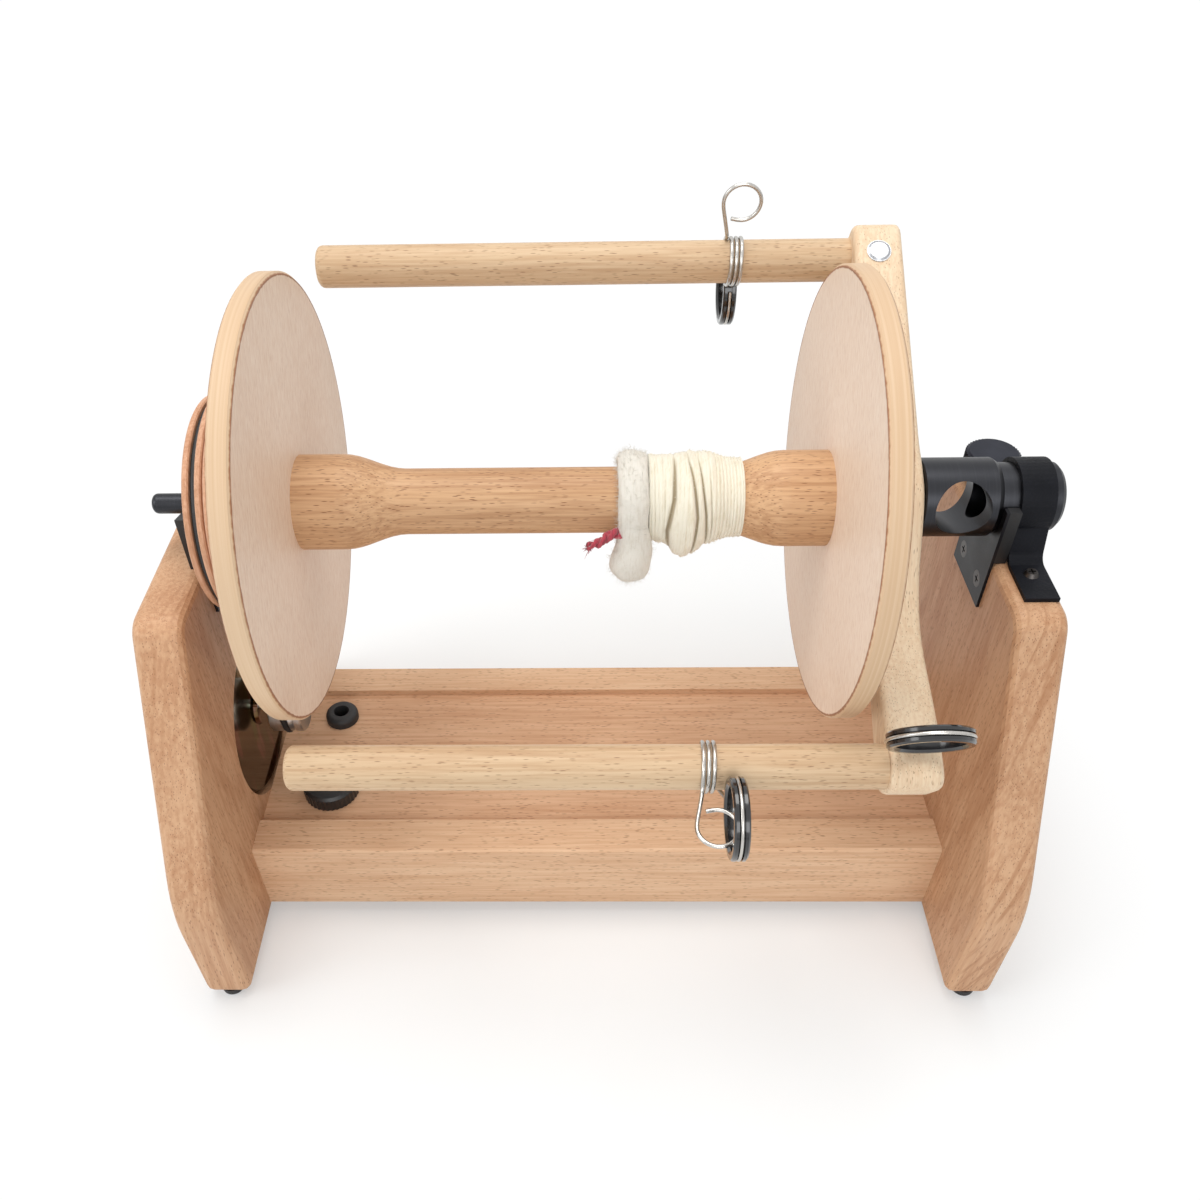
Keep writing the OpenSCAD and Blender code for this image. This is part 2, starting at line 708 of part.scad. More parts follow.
// Motor, pulley and belt
module motor_housing() {
    color(gold_metal) at_yz(0, -motor_drop)
        difference() {
            turned([[motor_face - motor_depth, 0], [motor_face - motor_depth, motor_d / 2 - 2],
                [motor_face - motor_depth + 2, motor_d / 2], [motor_face - 2, motor_d / 2],
                [motor_face, motor_d / 2 - 2], [motor_face, 12], [motor_face + 2, 11], [motor_face + 2, 0]]);
            rod_x(motor_face - 12, motor_face + 3, shaft_d / 2 + fit_gap);
            translate([0, 0, motor_drop])
                motor_screw_places()
                    rod_x(-outer_x - 1, motor_face - motor_depth + 6, 2);
        }
}
module motor_screws() {
    color(bright_steel) motor_screw_places()
        rotate([0, -90, 0])
            translate([0, 0, outer_x + 2.2])
                screw(7, 2.2, 3.9, motor_web + 5, false);
}
module motor_shaft() {
    color(bright_steel) at_yz(0, -motor_drop)
        rod_x(motor_face - 11, belt_x + pulley_l / 2 - 1.5, shaft_d / 2);
}
pulley_x = belt_x - pulley_l / 2;
module motor_pulley() {
    w = belt_r + 0.4;
    r = pulley_d / 2;
    root = pulley_belt_r - belt_r - free_gap;
    color(bright_steel) at_yz(0, -motor_drop)
        difference() {
            turned([[pulley_x, 0], [pulley_x, r - 0.8], [pulley_x + 0.8, r], [belt_x - w, r],
                [belt_x - w * 0.8, root], [belt_x + w * 0.8, root], [belt_x + w, r],
                [pulley_x + pulley_l - 5, r - 1.2], [pulley_x + pulley_l - 4, r],
                [pulley_x + pulley_l - 0.8, r], [pulley_x + pulley_l, r - 0.8], [pulley_x + pulley_l, 0]]);
            rod_x(pulley_x - 1, belt_x + pulley_l / 2 - 1.4, shaft_d / 2 + fit_gap);
        }
}
belt_lean = asin((whorl_belt_r - pulley_belt_r) / motor_drop);
belt_sides = 12;
// Rings of the belt round both pulleys, each as [angle, height of its centre, radius]
belt_rings = concat(
    [for (k = [0:28]) [-belt_lean + (180 + 2 * belt_lean) * k / 28, 0, whorl_belt_r]],
    [for (k = [0:16]) [180 + belt_lean + (180 - 2 * belt_lean) * k / 16, -motor_drop, pulley_belt_r]]);
module drive_belt() {
    m = len(belt_rings);
    n = belt_sides;
    points = [for (b = belt_rings, k = [0:n - 1]) let (a = 360 * k / n, q = b[2] + belt_r * cos(a))
        [belt_x + belt_r * sin(a), q * cos(b[0]), b[1] + q * sin(b[0])]];
    faces = [for (i = [0:m - 1], k = [0:n - 1], half = [0, 1])
        let (j = (i + 1) % m, l = (k + 1) % n) half == 0
        ? [i * n + k, i * n + l, j * n + k] : [i * n + l, j * n + l, j * n + k]];
    color(black_plastic) polyhedron(points = points, faces = faces, convexity = 4);
}

// Controls in and under the floor
module cable_grommet() {
    r = grommet_d / 2;
    color(black_plastic) translate([grommet_px, grommet_y, 0])
        difference() {
            rotate_extrude()
                polygon(concat([[0, floor_bottom - 2.5], [r - 1, floor_bottom - 2.5], [r - 1, floor_bottom],
                    [grommet_neck_d / 2, floor_bottom], [grommet_neck_d / 2, floor_top], [r, floor_top]],
                    [for (k = [0:6]) let (a = 15 * k)
                        [r - 3.2 + 3.2 * cos(a), floor_top + 3.3 + 3.2 * sin(a)]],
                    [[0, floor_top + 6.5]]));
            translate([0, 0, floor_bottom - 4])
                cylinder(h = floor_t + 12, d = grommet_hole_d);
        }
}
speed_gap = 0.4;
module speed_knob() {
    color(black_plastic) translate([speed_px, -speed_y, floor_top + speed_gap])
        difference() {
            union() {
                knurled(speed_d, speed_h - speed_gap - 1.5, 36, 0.5);
                translate([0, 0, speed_h - speed_gap - 1.51])
                    cylinder(h = 1.51, d1 = speed_d - 1, d2 = speed_d - 4);
            }
            translate([0, 0, -1])
                cylinder(h = speed_h - 1.5, d = 6 + 0.16);
            translate([-0.6, 6, speed_h - speed_gap - 0.6])
                cube([1.2, speed_d / 2 - 9, 2]);
        }
}
module speed_control() {
    color(dark_steel) translate([speed_px, -speed_y, 0]) {
        translate([0, 0, floor_bottom - 9])
            cylinder(h = 9, d = 17);
        translate([0, 0, floor_bottom - 0.01])
            cylinder(h = floor_t - 1, d = bush_d);
        translate([0, 0, floor_top - 2])
            cylinder(h = speed_h - 1.5, d = 6);
    }
}
board_size = [70, 46, 1.6];
board_pos = [-inner_x + 84.15, 0];
pillar_h = 5;
module board_pillars() {
    color(bright_steel) translate([board_pos[0], board_pos[1], cover_top])
        for (sx = [-1, 1], sy = [-1, 1])
            translate([sx * (board_size[0] / 2 - 4), sy * (board_size[1] / 2 - 4), 0])
                cylinder(h = pillar_h, d = 5);
}
module control_board() {
    top = cover_top + pillar_h + board_size[2];
    color([0.1, 0.35, 0.2]) translate([board_pos[0], board_pos[1], 0]) {
        translate([-board_size[0] / 2, -board_size[1] / 2, cover_top + pillar_h])
            cube(board_size);
        for (x = [-20, -6])
            translate([x, 10, top - 0.01])
                cylinder(h = 11, d = 8);
        translate([10, -6, top - 0.01])
            cube([14, 16, 9]);
        translate([-28, -18, top - 0.01])
            cube([18, 8, 7]);
    }
}

// Flyer: yoke, arms, orifice tube and axle rod, drawn with the arms level
yoke_half = 143;
yoke_straight = 16.8;
function yoke_edge() = smooth([[-40, yoke_straight], [-22, yoke_straight], [-8, 18.6], [6, 18.2], [22, 10.9],
    [41, 1.1], [62, -3.7], [80, -1.2], [100, 5], [118, 9.9], [131, 11.8]], 3);
function yoke_end() = concat(arc_corner([131, 11.8], [yoke_half, 12.6], [yoke_half, -10], 7, 4),
    arc_corner([yoke_half, 10], [yoke_half, -yoke_straight], [120, -yoke_straight], 7, 4));
function yoke_outline() = let (half = concat(yoke_edge(), yoke_end()))
    concat(half, [for (p = half) -p]);
// Turns level flyer pieces to their place, so that +Y follows the front arm
module flyer_turn() {
    rotate([180 + flyer_angle, 0, 0])
        children();
}
tube_spigot_d = 18;
spigot_l = 15;
rod_in = 13;
module flyer_yoke() {
    color(beech_light) flyer_turn()
        difference() {
            translate([yoke_x, 0, 0])
                rotate([90, 0, 90])
                    linear_extrude(yoke_t)
                        polygon([for (p = yoke_outline()) [p[0], -p[1]]]);
            for (sy = [-1, 1])
                at_yz(sy * arm_orbit, 0)
                    rod_x(yoke_x - 1, yoke_x + tenon_l + 0.2, tenon_d / 2 + fit_gap);
            rod_x(yoke_x - 1, yoke_x + yoke_t + 1, axle_r + free_gap);
            rod_x(yoke_x + yoke_t - spigot_l - 0.2, yoke_x + yoke_t + 1, tube_spigot_d / 2 + fit_gap);
            at_yz(-plug_s, 0)
                translate([yoke_x + yoke_t / 2 - 0.5, 0, -yoke_straight - 1])
                    cylinder(h = plug_l + 1, d = plug_d + 2 * fit_gap);
            at_yz(guide_s, 0)
                translate([guide_x, 0, -yoke_straight])
                    cylinder(h = yoke_straight + 20, d = wire_d + 2 * fit_gap);
        }
}
plug_s = 124.4;
plug_l = 5.8;
module balance_plug() {
    color(bright_steel) flyer_turn()
        at_yz(-plug_s, 0)
            translate([yoke_x + yoke_t / 2 - 0.5, 0, -yoke_straight - 0.4])
                union() {
                    cylinder(h = plug_l, d = plug_d);
                    translate([0, 0, -0.6])
                        cylinder(h = 0.61, d1 = plug_d - 3, d2 = plug_d - 0.6);
                }
}
module flyer_arm(side) {
    r = 3;
    x0 = yoke_x - arm_l;
    x1 = yoke_x + tenon_l;
    tenon_r = tenon_d / 2;
    color(beech) flyer_turn()
        at_yz(side * arm_orbit, 0)
            turned(concat([[x0, 0]], [for (k = [0:4]) let (a = 22.5 * k)
                [x0 + r - r * cos(a), arm_r - r + r * sin(a)]],
                [[yoke_x, arm_r], [yoke_x, tenon_r], [x1, tenon_r], [x1, 0]]));
}
module front_flyer_arm() { flyer_arm(1); }
module back_flyer_arm() { flyer_arm(-1); }
module axle_rod() {
    r = 2.5;
    color(black_steel)
        turned(concat([[axle_end, 0]], [for (k = [0:4]) let (a = 22.5 * k)
            [axle_end + r - r * cos(a), axle_r - r + r * sin(a)]],
            [[tube_x - spigot_l + rod_in, axle_r], [tube_x - spigot_l + rod_in, 0]]));
}
cross_x = tube_x + 18.15;
orifice_deep = 12.5;
module orifice_tube() {
    color(dark_steel) difference() {
        turned([[tube_x - spigot_l, 0], [tube_x - spigot_l, tube_spigot_d / 2], [tube_x, tube_spigot_d / 2],
            [tube_x, tube_d / 2 - 0.5], [tube_x + 0.5, tube_d / 2], [shoulder_x - 2.4, tube_d / 2],
            [shoulder_x, tube_d / 2 - 1.6], [shoulder_x, neck_r], [neck_end - 2, neck_r],
            [neck_end, neck_r - 2], [neck_end, 0]]);
        rod_x(cross_x - orifice_deep, neck_end + 1, orifice_d / 2);
        rod_x(tube_x - spigot_l - 1, tube_x - spigot_l + rod_in + 0.3, axle_r + fit_gap);
        rotate([flyer_angle + cross_hole_turn, 0, 0])
            translate([cross_x, 0, 0])
                rotate([-90, 0, 0])
                    cylinder(h = 2 * tube_d, d = cross_hole_d, center = true);
    }
}

// Grooved guide ring about the X axis, and the wire that lies in its groove
groove_r = ring_d / 2 - 2;
wire_loop_r = groove_r + free_gap + wire_r;
module guide_ring_x() {
    w = ring_w / 2;
    g = wire_r + 0.3;
    hole = ring_hole_d / 2;
    rim = ring_d / 2;
    turned([[-w, hole + 1.2], [-w, rim - 0.8], [-w + 0.8, rim], [-g, rim], [-g, groove_r],
        [g, groove_r], [g, rim], [w - 0.8, rim], [w, rim - 0.8], [w, hole + 1.2],
        [w - 1.2, hole], [-w + 1.2, hole]]);
}
guide_s = 124;
guide_n = 33;
guide_x = yoke_x + yoke_t / 2 - 0.7;
module yoke_guide_place() {
    flyer_turn()
        translate([guide_x, guide_s, -guide_n])
            rotate([0, 0, 90])
                children();
}
module yoke_guide_ring() {
    color(black_plastic) yoke_guide_place()
        guide_ring_x();
}
stem_l = 26;
module yoke_guide_wire() {
    color(bright_steel) yoke_guide_place() {
        rotate([90, 0, 0])
            rotate([90, 0, 90])
                rotate_extrude(angle = 340)
                    translate([wire_loop_r, 0])
                        circle(d = wire_d, $fn = 24);
        translate([0, 0, wire_loop_r])
            sphere(d = wire_d, $fn = 24);
        translate([0, 0, wire_loop_r])
            cylinder(h = stem_l, d = wire_d, $fn = 24);
    }
}

// Wire clips that grip the arms: coil, handle loop and a loop round the guide ring.
// Paths are drawn about the arm's own axis, with angles round it from +Y towards +Z
coil_steps = 8;
coil_r = (arm_r + 0.2 + wire_r) / cos(180 / coil_steps);
handle_out = coil_r + handle_leg;
function handle_path(x, turn) =
    let (mid = [x + handle_r * 0.57, handle_out])
    [for (q = concat([[x + 0.6, handle_out - handle_r]], [for (a = [-90:30:180]) mid + polar(handle_r, a)],
        [[x, coil_r + 3.5], [x, coil_r + 0.9]])) [q[0], q[1] * cos(turn), q[1] * sin(turn)]];
function coil_path(x, from, turns) = [for (k = [0:turns * coil_steps])
    along_x(x + coil_pitch * k / coil_steps, coil_r, from - 360 * max(k, 0.25) / coil_steps)];
// Place beside the arm, u outwards along the direction turn and v ahead of it
function beside(x, u, v, turn) = along_x(x, u, turn) + [0, -v * sin(turn), v * cos(turn)];
// Wire from the coil's end out to the ring and round in its groove
function ring_loop(x, out, turn) = concat([beside(x, out - wire_loop_r - 0.2, coil_r, turn)],
    [for (a = [130:-15:-155]) beside(x, out + wire_loop_r * cos(a), wire_loop_r * sin(a), turn)]);
function part_turn(from, to) = ((from - to) % 360 + 360) % 360 / 360;
function turns_between(from, to) = coil_turns + part_turn(from, to) - (part_turn(from, to) > 0.5 ? 1 : 0);
function clip_path(x, handle_turn, ring_step, ring_out, ring_turn) =
    let (turns = floor(turns_between(handle_turn, ring_turn + 90) * coil_steps) / coil_steps)
    let (x0 = x - turns * coil_pitch / 2)
    concat(handle_path(x0, handle_turn), coil_path(x0, handle_turn, turns),
        ring_loop(x + ring_step, ring_out, ring_turn));
front_handle_turn = 187;
back_handle_turn = 98;
front_clip_path =
    clip_path(front_clip_x, front_handle_turn, front_ring_step, front_ring_out, front_ring_turn);
back_clip_path =
    clip_path(back_clip_x, back_handle_turn, back_ring_step, back_ring_out, back_ring_turn);
echo(front_clip_least_gap = least_gap(front_clip_path, 4, wire_d));
echo(back_clip_least_gap = least_gap(back_clip_path, 4, wire_d));
module on_arm(side) {
    at_yz(-side * arm_orbit * cos(flyer_angle), -side * arm_orbit * sin(flyer_angle))
        children();
}
module front_clip_spring() {
    color(bright_steel) on_arm(1)
        tube(front_clip_path, wire_d, 6, [0, 0, 1]);
}
module back_clip_spring() {
    color(bright_steel) on_arm(-1)
        tube(back_clip_path, wire_d, 6, [0, 0, 1]);
}
module front_guide_ring() {
    color(black_plastic) on_arm(1)
        translate(along_x(front_clip_x + front_ring_step, front_ring_out, front_ring_turn))
            guide_ring_x();
}
module back_guide_ring() {
    color(black_plastic) on_arm(-1)
        translate(along_x(back_clip_x + back_ring_step, back_ring_out, back_ring_turn))
            guide_ring_x();
}

// Bobbin
core_bore_d = 16;
bush_l = 14;
function flare(t) = core_waist_d / 2 + (core_end_d - core_waist_d) / 2 * (1 + cos(180 * t)) / 2;
function core_half() = concat([[0, core_end_d / 2]],
    [for (k = [0:8]) [core_end_l + core_flare_l * k / 8, flare(k / 8)]]);
function core_radius(x) = let (e = min(x, bobbin_l - x)) lookup(e, core_half());
module bobbin_core() {
    left = core_half();
    color(beech) translate([bobbin_x, 0, 0])
        difference() {
            turned(concat([[0, 0]], left, [for (p = flipped(left)) [bobbin_l - p[0], p[1]]],
                [[bobbin_l, 0]]));
            rod_x(-1, bobbin_l + 1, core_bore_d / 2);
        }
}
flange_edge = 1.2;
module flange(x) {
    r = flange_d / 2;
    color(pink_beech) difference() {
        turned([[x, 0], [x, r - flange_edge], [x + flange_edge, r], [x + flange_t - flange_edge, r],
            [x + flange_t, r - flange_edge], [x + flange_t, 0]]);
        rod_x(x - 1, x + flange_t + 1, core_bore_d / 2);
    }
}
module left_bobbin_flange() { flange(bobbin_x - flange_t); }
module right_bobbin_flange() { flange(bobbin_end); }
whorl_root = 4;
whorl_end = bobbin_x - flange_t;
function whorl_profile(i, x) = let (r = whorl_d[i] / 2, last = i == len(whorl_d) - 1)
    let (w = last ? whorl_end - x : whorl_disc, g = i == 0 ? whorl_groove : whorl_disc - 0.4)
    let (deep = i == 0 ? whorl_belt_r - belt_r - free_gap : r - whorl_root)
    concat([[x, r - 0.6], [x + 0.6, r], [x + w - 0.6, r], [x + w, r - 0.6]],
        last ? [] : concat([[x + w + groove_slope, deep], [x + w + g - groove_slope, deep]],
            whorl_profile(i + 1, x + w + g)));
module bobbin_whorl() {
    x = belt_x - whorl_groove / 2 - whorl_disc;
    color(beech) difference() {
        turned(concat([[x, 0]], whorl_profile(0, x), [[whorl_end, 0]]));
        rod_x(x - 1, whorl_end + 1, core_bore_d / 2);
    }
}
module bush(x, l) {
    color(black_plastic) difference() {
        rod_x(x, x + l, core_bore_d / 2 - fit_gap);
        rod_x(x - 1, x + l + 1, axle_r + bearing_gap);
    }
}
module left_bobbin_bush() { bush(belt_x - whorl_groove / 2 - whorl_disc, bush_l); }
module right_bobbin_bush() { bush(bobbin_end + flange_t - bush_l, bush_l); }

// Yarn on the bobbin: a plain core under one outer layer of turns, which sag a little
yarn_radii = [[0, 23.2], [0.15, 23.4], [0.35, 24.6], [0.5, 24.2], [0.6, 21.8], [0.7, 21.2], [1, 22.8]];
function yarn_bulge(t) = t < 0.65 ? yarn_sag * (1 - cos(360 * t / 0.65)) / 2 : 0;
function yarn_r(t, a) = lookup(t, yarn_radii) - yarn_d / 2 + yarn_bulge(t) * (1 - sin(a)) / 2;
yarn_steps = 24;
function yarn_helix() = let (n = yarn_turns * yarn_steps, x0 = bobbin_x + yarn_start + yarn_d)
    [for (k = [0:n]) let (t = k / n, a = 360 * k / yarn_steps)
        along_x(x0 + t * (yarn_l - 2 * yarn_d), yarn_r(t, a), a)];
function with_straight_ends(p, l) = let (n = len(p))
    concat([p[0] + unit(p[0] - p[1]) * l], p, [p[n - 1] + unit(p[n - 1] - p[n - 2]) * l]);
yarn_path = with_straight_ends(yarn_helix(), yarn_d);
echo(yarn_least_gap = least_gap([for (k = [0:2:len(yarn_path) - 1]) yarn_path[k]], 6, yarn_d));
module yarn_core() {
    n = 12;
    x0 = bobbin_x + yarn_start;
    outer = [for (k = [0:n]) [x0 + yarn_l * k / n, lookup(k / n, yarn_radii) - yarn_d - 0.5]];
    inner = [for (k = [n:-1:0]) let (x = yarn_start + yarn_l * k / n) [bobbin_x + x, core_radius(x) + 0.15]];
    color(wool) turned(concat(outer, inner));
}
module yarn_winding() {
    color(wool) tube(yarn_path, yarn_d, 6, [1, 0, 0]);
}
roving_x = bobbin_x + yarn_start - 0.3 - roving_w / 2;
roving_from = 40;
roving_to = 214;
roving_r = core_waist_d / 2 + 0.15 + roving_t / 2;
module roving_tail() {
    oval = rounded([for (c = [[-1, -1], [1, -1], [1, 1], [-1, 1]])
        [c[0] * roving_t / 2, c[1] * roving_w / 2, roving_t * 0.45]]);
    color(wool) translate([roving_x, 0, 0]) {
        rotate([roving_from, 0, 0])
            rotate([90, 0, 90])
                rotate_extrude(angle = roving_to - roving_from)
                    translate([roving_r, 0])
                        polygon(oval);
        hull() {
            translate(along_x(0, roving_r, roving_to))
                sphere(r = roving_t / 2 - 0.2, $fn = 20);
            translate(along_x(-1.5, roving_r + 9, roving_to + 10))
                sphere(r = roving_t / 2 + 4.4, $fn = 20);
            translate(along_x(2, roving_r + 11, roving_to + 8))
                sphere(r = roving_t / 2 + 3.4, $fn = 20);
        }
    }
}
module red_yarn_tail() {
    color([0.75, 0.12, 0.14]) translate([roving_x - roving_w / 2 - red_d / 2 - 0.15, 0, 0])
        translate(along_x(0, roving_r + 2.5, 192))
            rotate([0, -101, 14]) {
                cylinder(h = red_l, d = red_d);
                for (z = [0, red_l])
                    translate([0, 0, z])
                        sphere(d = red_d);
            }
}

place() left_end_panel();
place() right_end_panel();
place() front_rail();
place() back_rail();
place() front_rail_strip();
place() back_rail_strip();
place() floor_board();
place() bottom_cover();
place() cover_screws();
place() rubber_feet();
place() frame_dowels();
place() left_bearing_plate();
place() left_bearing_block();
place() left_plate_screws();
place() right_bearing_plate();
place() right_bearing_block();
place() right_plate_screws();
place() brake_strap();
place() strap_screw();
place() brake_stud();
place() brake_washer();
place() brake_knob();
place() motor_housing();
place() motor_screws();
place() motor_shaft();
place() motor_pulley();
place() drive_belt();
place() cable_grommet();
place() speed_knob();
place() speed_control();
place() control_board();
place() board_pillars();
place() power_inlet();
place() flyer_yoke();
place() front_flyer_arm();
place() back_flyer_arm();
place() balance_plug();
place() orifice_tube();
place() axle_rod();
place() yoke_guide_ring();
place() yoke_guide_wire();
place() front_clip_spring();
place() front_guide_ring();
place() back_clip_spring();
place() back_guide_ring();
place() bobbin_core();
place() left_bobbin_flange();
place() right_bobbin_flange();
place() bobbin_whorl();
place() left_bobbin_bush();
place() right_bobbin_bush();
place() yarn_core();
place() yarn_winding();
place() roving_tail();
place() red_yarn_tail();
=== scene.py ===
import json
import math
import random

import bmesh
import bpy
from mathutils import Matrix, Vector, noise


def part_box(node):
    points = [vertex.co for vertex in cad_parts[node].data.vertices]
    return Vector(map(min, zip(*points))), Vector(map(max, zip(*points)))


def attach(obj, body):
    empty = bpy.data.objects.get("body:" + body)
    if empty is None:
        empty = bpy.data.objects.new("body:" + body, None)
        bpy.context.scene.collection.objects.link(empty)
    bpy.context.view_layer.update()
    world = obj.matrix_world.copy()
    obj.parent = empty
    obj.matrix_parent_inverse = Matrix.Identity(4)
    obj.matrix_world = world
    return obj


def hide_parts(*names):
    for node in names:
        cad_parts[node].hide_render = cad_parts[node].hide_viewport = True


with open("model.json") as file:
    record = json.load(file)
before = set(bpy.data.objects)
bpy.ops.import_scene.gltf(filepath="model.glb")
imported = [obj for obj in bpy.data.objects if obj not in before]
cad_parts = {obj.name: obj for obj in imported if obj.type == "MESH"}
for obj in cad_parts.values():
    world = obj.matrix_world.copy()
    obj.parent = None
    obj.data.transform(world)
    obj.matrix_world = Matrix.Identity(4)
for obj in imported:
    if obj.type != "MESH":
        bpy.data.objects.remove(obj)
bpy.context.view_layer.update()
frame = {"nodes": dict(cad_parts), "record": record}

MM = 0.001
# Without a seed, noise vectors start from the clock and the soft pieces differ on each run
NOISE_SEED = 1
noise.seed_set(NOISE_SEED)

# The spinning axis, the middle of the bobbin along it, and the places of the arms round it
core_low, core_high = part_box("bobbin_core")
AXIS = (core_low + core_high) / 2
CORE_LEFT_OF_MIDDLE = 143.25 * MM
MIDDLE_X = core_low.x + CORE_LEFT_OF_MIDDLE
arm_low, arm_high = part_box("front_flyer_arm")
FRONT_ARM = (arm_low + arm_high) / 2
arm_low, arm_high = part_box("back_flyer_arm")
BACK_ARM = (arm_low + arm_high) / 2


# ---------------------------------------------------------------- finishes

class Val:
    """A value on a shader socket. Python operators on it add Math nodes."""

    def __init__(self, finish, socket):
        self.finish = finish
        self.socket = socket

    def math(self, operation, *values):
        sockets = dict(enumerate(values))
        return self.finish.node("ShaderNodeMath", sockets, operation=operation)

    def __add__(self, other):
        return self.math("ADD", self, other)

    __radd__ = __add__

    def __mul__(self, other):
        return self.math("MULTIPLY", self, other)

    __rmul__ = __mul__

    def __sub__(self, other):
        return self.math("SUBTRACT", self, other)

    def __rsub__(self, other):
        return self.math("SUBTRACT", other, self)

    def __pow__(self, other):
        return self.math("POWER", self, other)

    def sine(self):
        return self.math("SINE", self)

    def between(self, low, high, start=0.0, end=1.0):
        """Smooth step from start to end as the value goes from low to high."""
        return self.finish.node("ShaderNodeMapRange", {
            "Value": self, "From Min": low, "From Max": high, "To Min": start, "To Max": end,
        }, interpolation_type="SMOOTHSTEP")


class Finish:
    """A material under construction."""

    def __init__(self, name, colour=(0.5, 0.5, 0.5), rough=0.5, metal=0.0, **fixed):
        self.material = bpy.data.materials.new(name)
        self.material.use_nodes = True
        self.tree = self.material.node_tree
        self.shader = self.tree.nodes["Principled BSDF"]
        self.set("Base Color", (*colour, 1.0))
        self.set("Roughness", rough)
        self.set("Metallic", metal)
        for name, value in fixed.items():
            self.set(name.replace("_", " ").title().replace("Ior", "IOR"), value)

    def put(self, socket, value):
        """Links a value to a socket, or sets the socket to a constant."""
        if isinstance(value, Val):
            self.tree.links.new(value.socket, socket)
        else:
            socket.default_value = value

    def set(self, socket, value):
        self.put(self.shader.inputs[socket], value)

    def node(self, kind, sockets=None, output=0, **settings):
        """Adds a node, fills its inputs and returns one of its outputs."""
        made = self.tree.nodes.new(kind)
        for key, value in settings.items():
            setattr(made, key, value)
        for key, value in (sockets or {}).items():
            self.put(made.inputs[key], value)
        return Val(self, made.outputs[output])

    def here(self, turn=(0, 0, 0), move=(0, 0, 0)):
        """The place on the object, in metres, turned and moved."""
        place = self.node("ShaderNodeTexCoord", output="Object")
        return self.node("ShaderNodeMapping", {"Vector": place, "Location": move, "Rotation": turn})

    def stretched(self, place, stretch):
        return self.node("ShaderNodeVectorMath", {0: place, 1: stretch}, operation="MULTIPLY")

    def split(self, place):
        return [self.node("ShaderNodeSeparateXYZ", {0: place}, output=i) for i in range(3)]

    def joined(self, x, y, z):
        return self.node("ShaderNodeCombineXYZ", {0: x, 1: y, 2: z})

    def noise(self, place, scale=1.0, detail=2.0, rough=0.5):
        return self.node("ShaderNodeTexNoise", {
            "Vector": place, "Scale": scale, "Detail": detail, "Roughness": rough})

    def cells(self, place, scale=1.0, feature="F1"):
        """Distance from the nearest of many scattered points."""
        return self.node("ShaderNodeTexVoronoi", {"Vector": place, "Scale": scale}, output="Distance",
                         feature=feature)

    def mix(self, factor, first, second):
        """A colour that goes from first to second as the factor goes from 0 to 1."""
        def colour(c):
            return c if isinstance(c, Val) else (*c, 1.0)
        return self.node("ShaderNodeMix", {0: factor, 6: colour(first), 7: colour(second)}, output=2,
                         data_type="RGBA")

    def bump(self, height, strength=0.3, depth=0.0002):
        self.set("Normal", self.node("ShaderNodeBump", {
            "Height": height, "Strength": strength, "Distance": depth}))

    def round_axis(self, centre):
        """Distance from the axis along X through centre, and the place measured from centre."""
        x, y, z = self.split(self.here(move=tuple(-c for c in centre)))
        return (y * y + z * z) ** 0.5, x, y, z


WOOD_ROUGH = 0.48
WOOD_GLOSS = 0.28


def shaded(colour, shares):
    """A colour with each of its channels cut to a share."""
    return tuple(c * share for c, share in zip(colour, shares))


def beech(name, pale, deep, turn=(0, 0, 0), move=(0, 0, 0), fleck=1.0, ring=0.5, scale=1.0, lean=0.4,
          heart=0.0):
    """Oiled beech whose grain runs along X before turn: soft streaks, growth lines and short dark flecks.
    Dark heartwood may run on a slant over the edges of the right end panel."""
    f = Finish(name, rough=WOOD_ROUGH, specular_ior_level=WOOD_GLOSS)
    here = f.here(turn=turn, move=move)
    bend = f.noise(f.stretched(here, (3 * scale, 14 * scale, 14 * scale)), detail=1.0)
    broad = f.noise(f.stretched(here, (5 * scale, 60 * scale, 60 * scale)), detail=2.0)
    streak = f.noise(f.stretched(here, (26 * scale, 700 * scale, 700 * scale)), detail=3.0, rough=0.6)
    _, across, over = f.split(here)
    phase = (across * math.cos(lean) + over * math.sin(lean)) * (1500 * scale) + bend * 34
    lines = phase.sine().between(0.2, 1.0) * ring * broad.between(0.35, 0.7)
    dashes = f.cells(f.stretched(here, (150, 1150, 1150)))
    some = f.noise(f.stretched(here, (50, 170, 170)), detail=1.0)
    marks = (1 - dashes.between(0.10, 0.30)) * some.between(0.28, 0.5) * fleck
    tone = broad * 0.35 + streak * 0.65
    colour = f.mix(tone.between(0.36, 0.66), pale, deep)
    darker = shaded(deep, (0.78, 0.68, 0.58))
    colour = f.mix(lines * 0.45, colour, darker)
    if heart:
        x, y, z = f.split(f.here())
        inner_face, outer_face = (corner.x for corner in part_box("right_end_panel"))
        bare, faded = 1 * MM, 6 * MM
        slanting = f.joined((x * 0.93 - z * 0.36) * 260, (z * 0.93 + x * 0.36) * 12, y * 10)
        bands = f.noise(slanting, 1.0, detail=2.0).between(0.52, 0.64)
        bands = bands * x.between(inner_face + bare, inner_face + faded)
        bands = bands * (1 - x.between(outer_face - faded, outer_face - bare))
        colour = f.mix(bands * heart, colour, darker)
    colour = f.mix(marks * 0.75, colour, shaded(deep, (0.36, 0.25, 0.18)))
    f.set("Base Color", colour)
    f.set("Roughness", (streak * 0.16 + marks * 0.1) + (WOOD_ROUGH - 0.08))
    f.bump(streak * 0.5 - marks * 0.6, strength=0.25, depth=0.15 * MM)
    return f


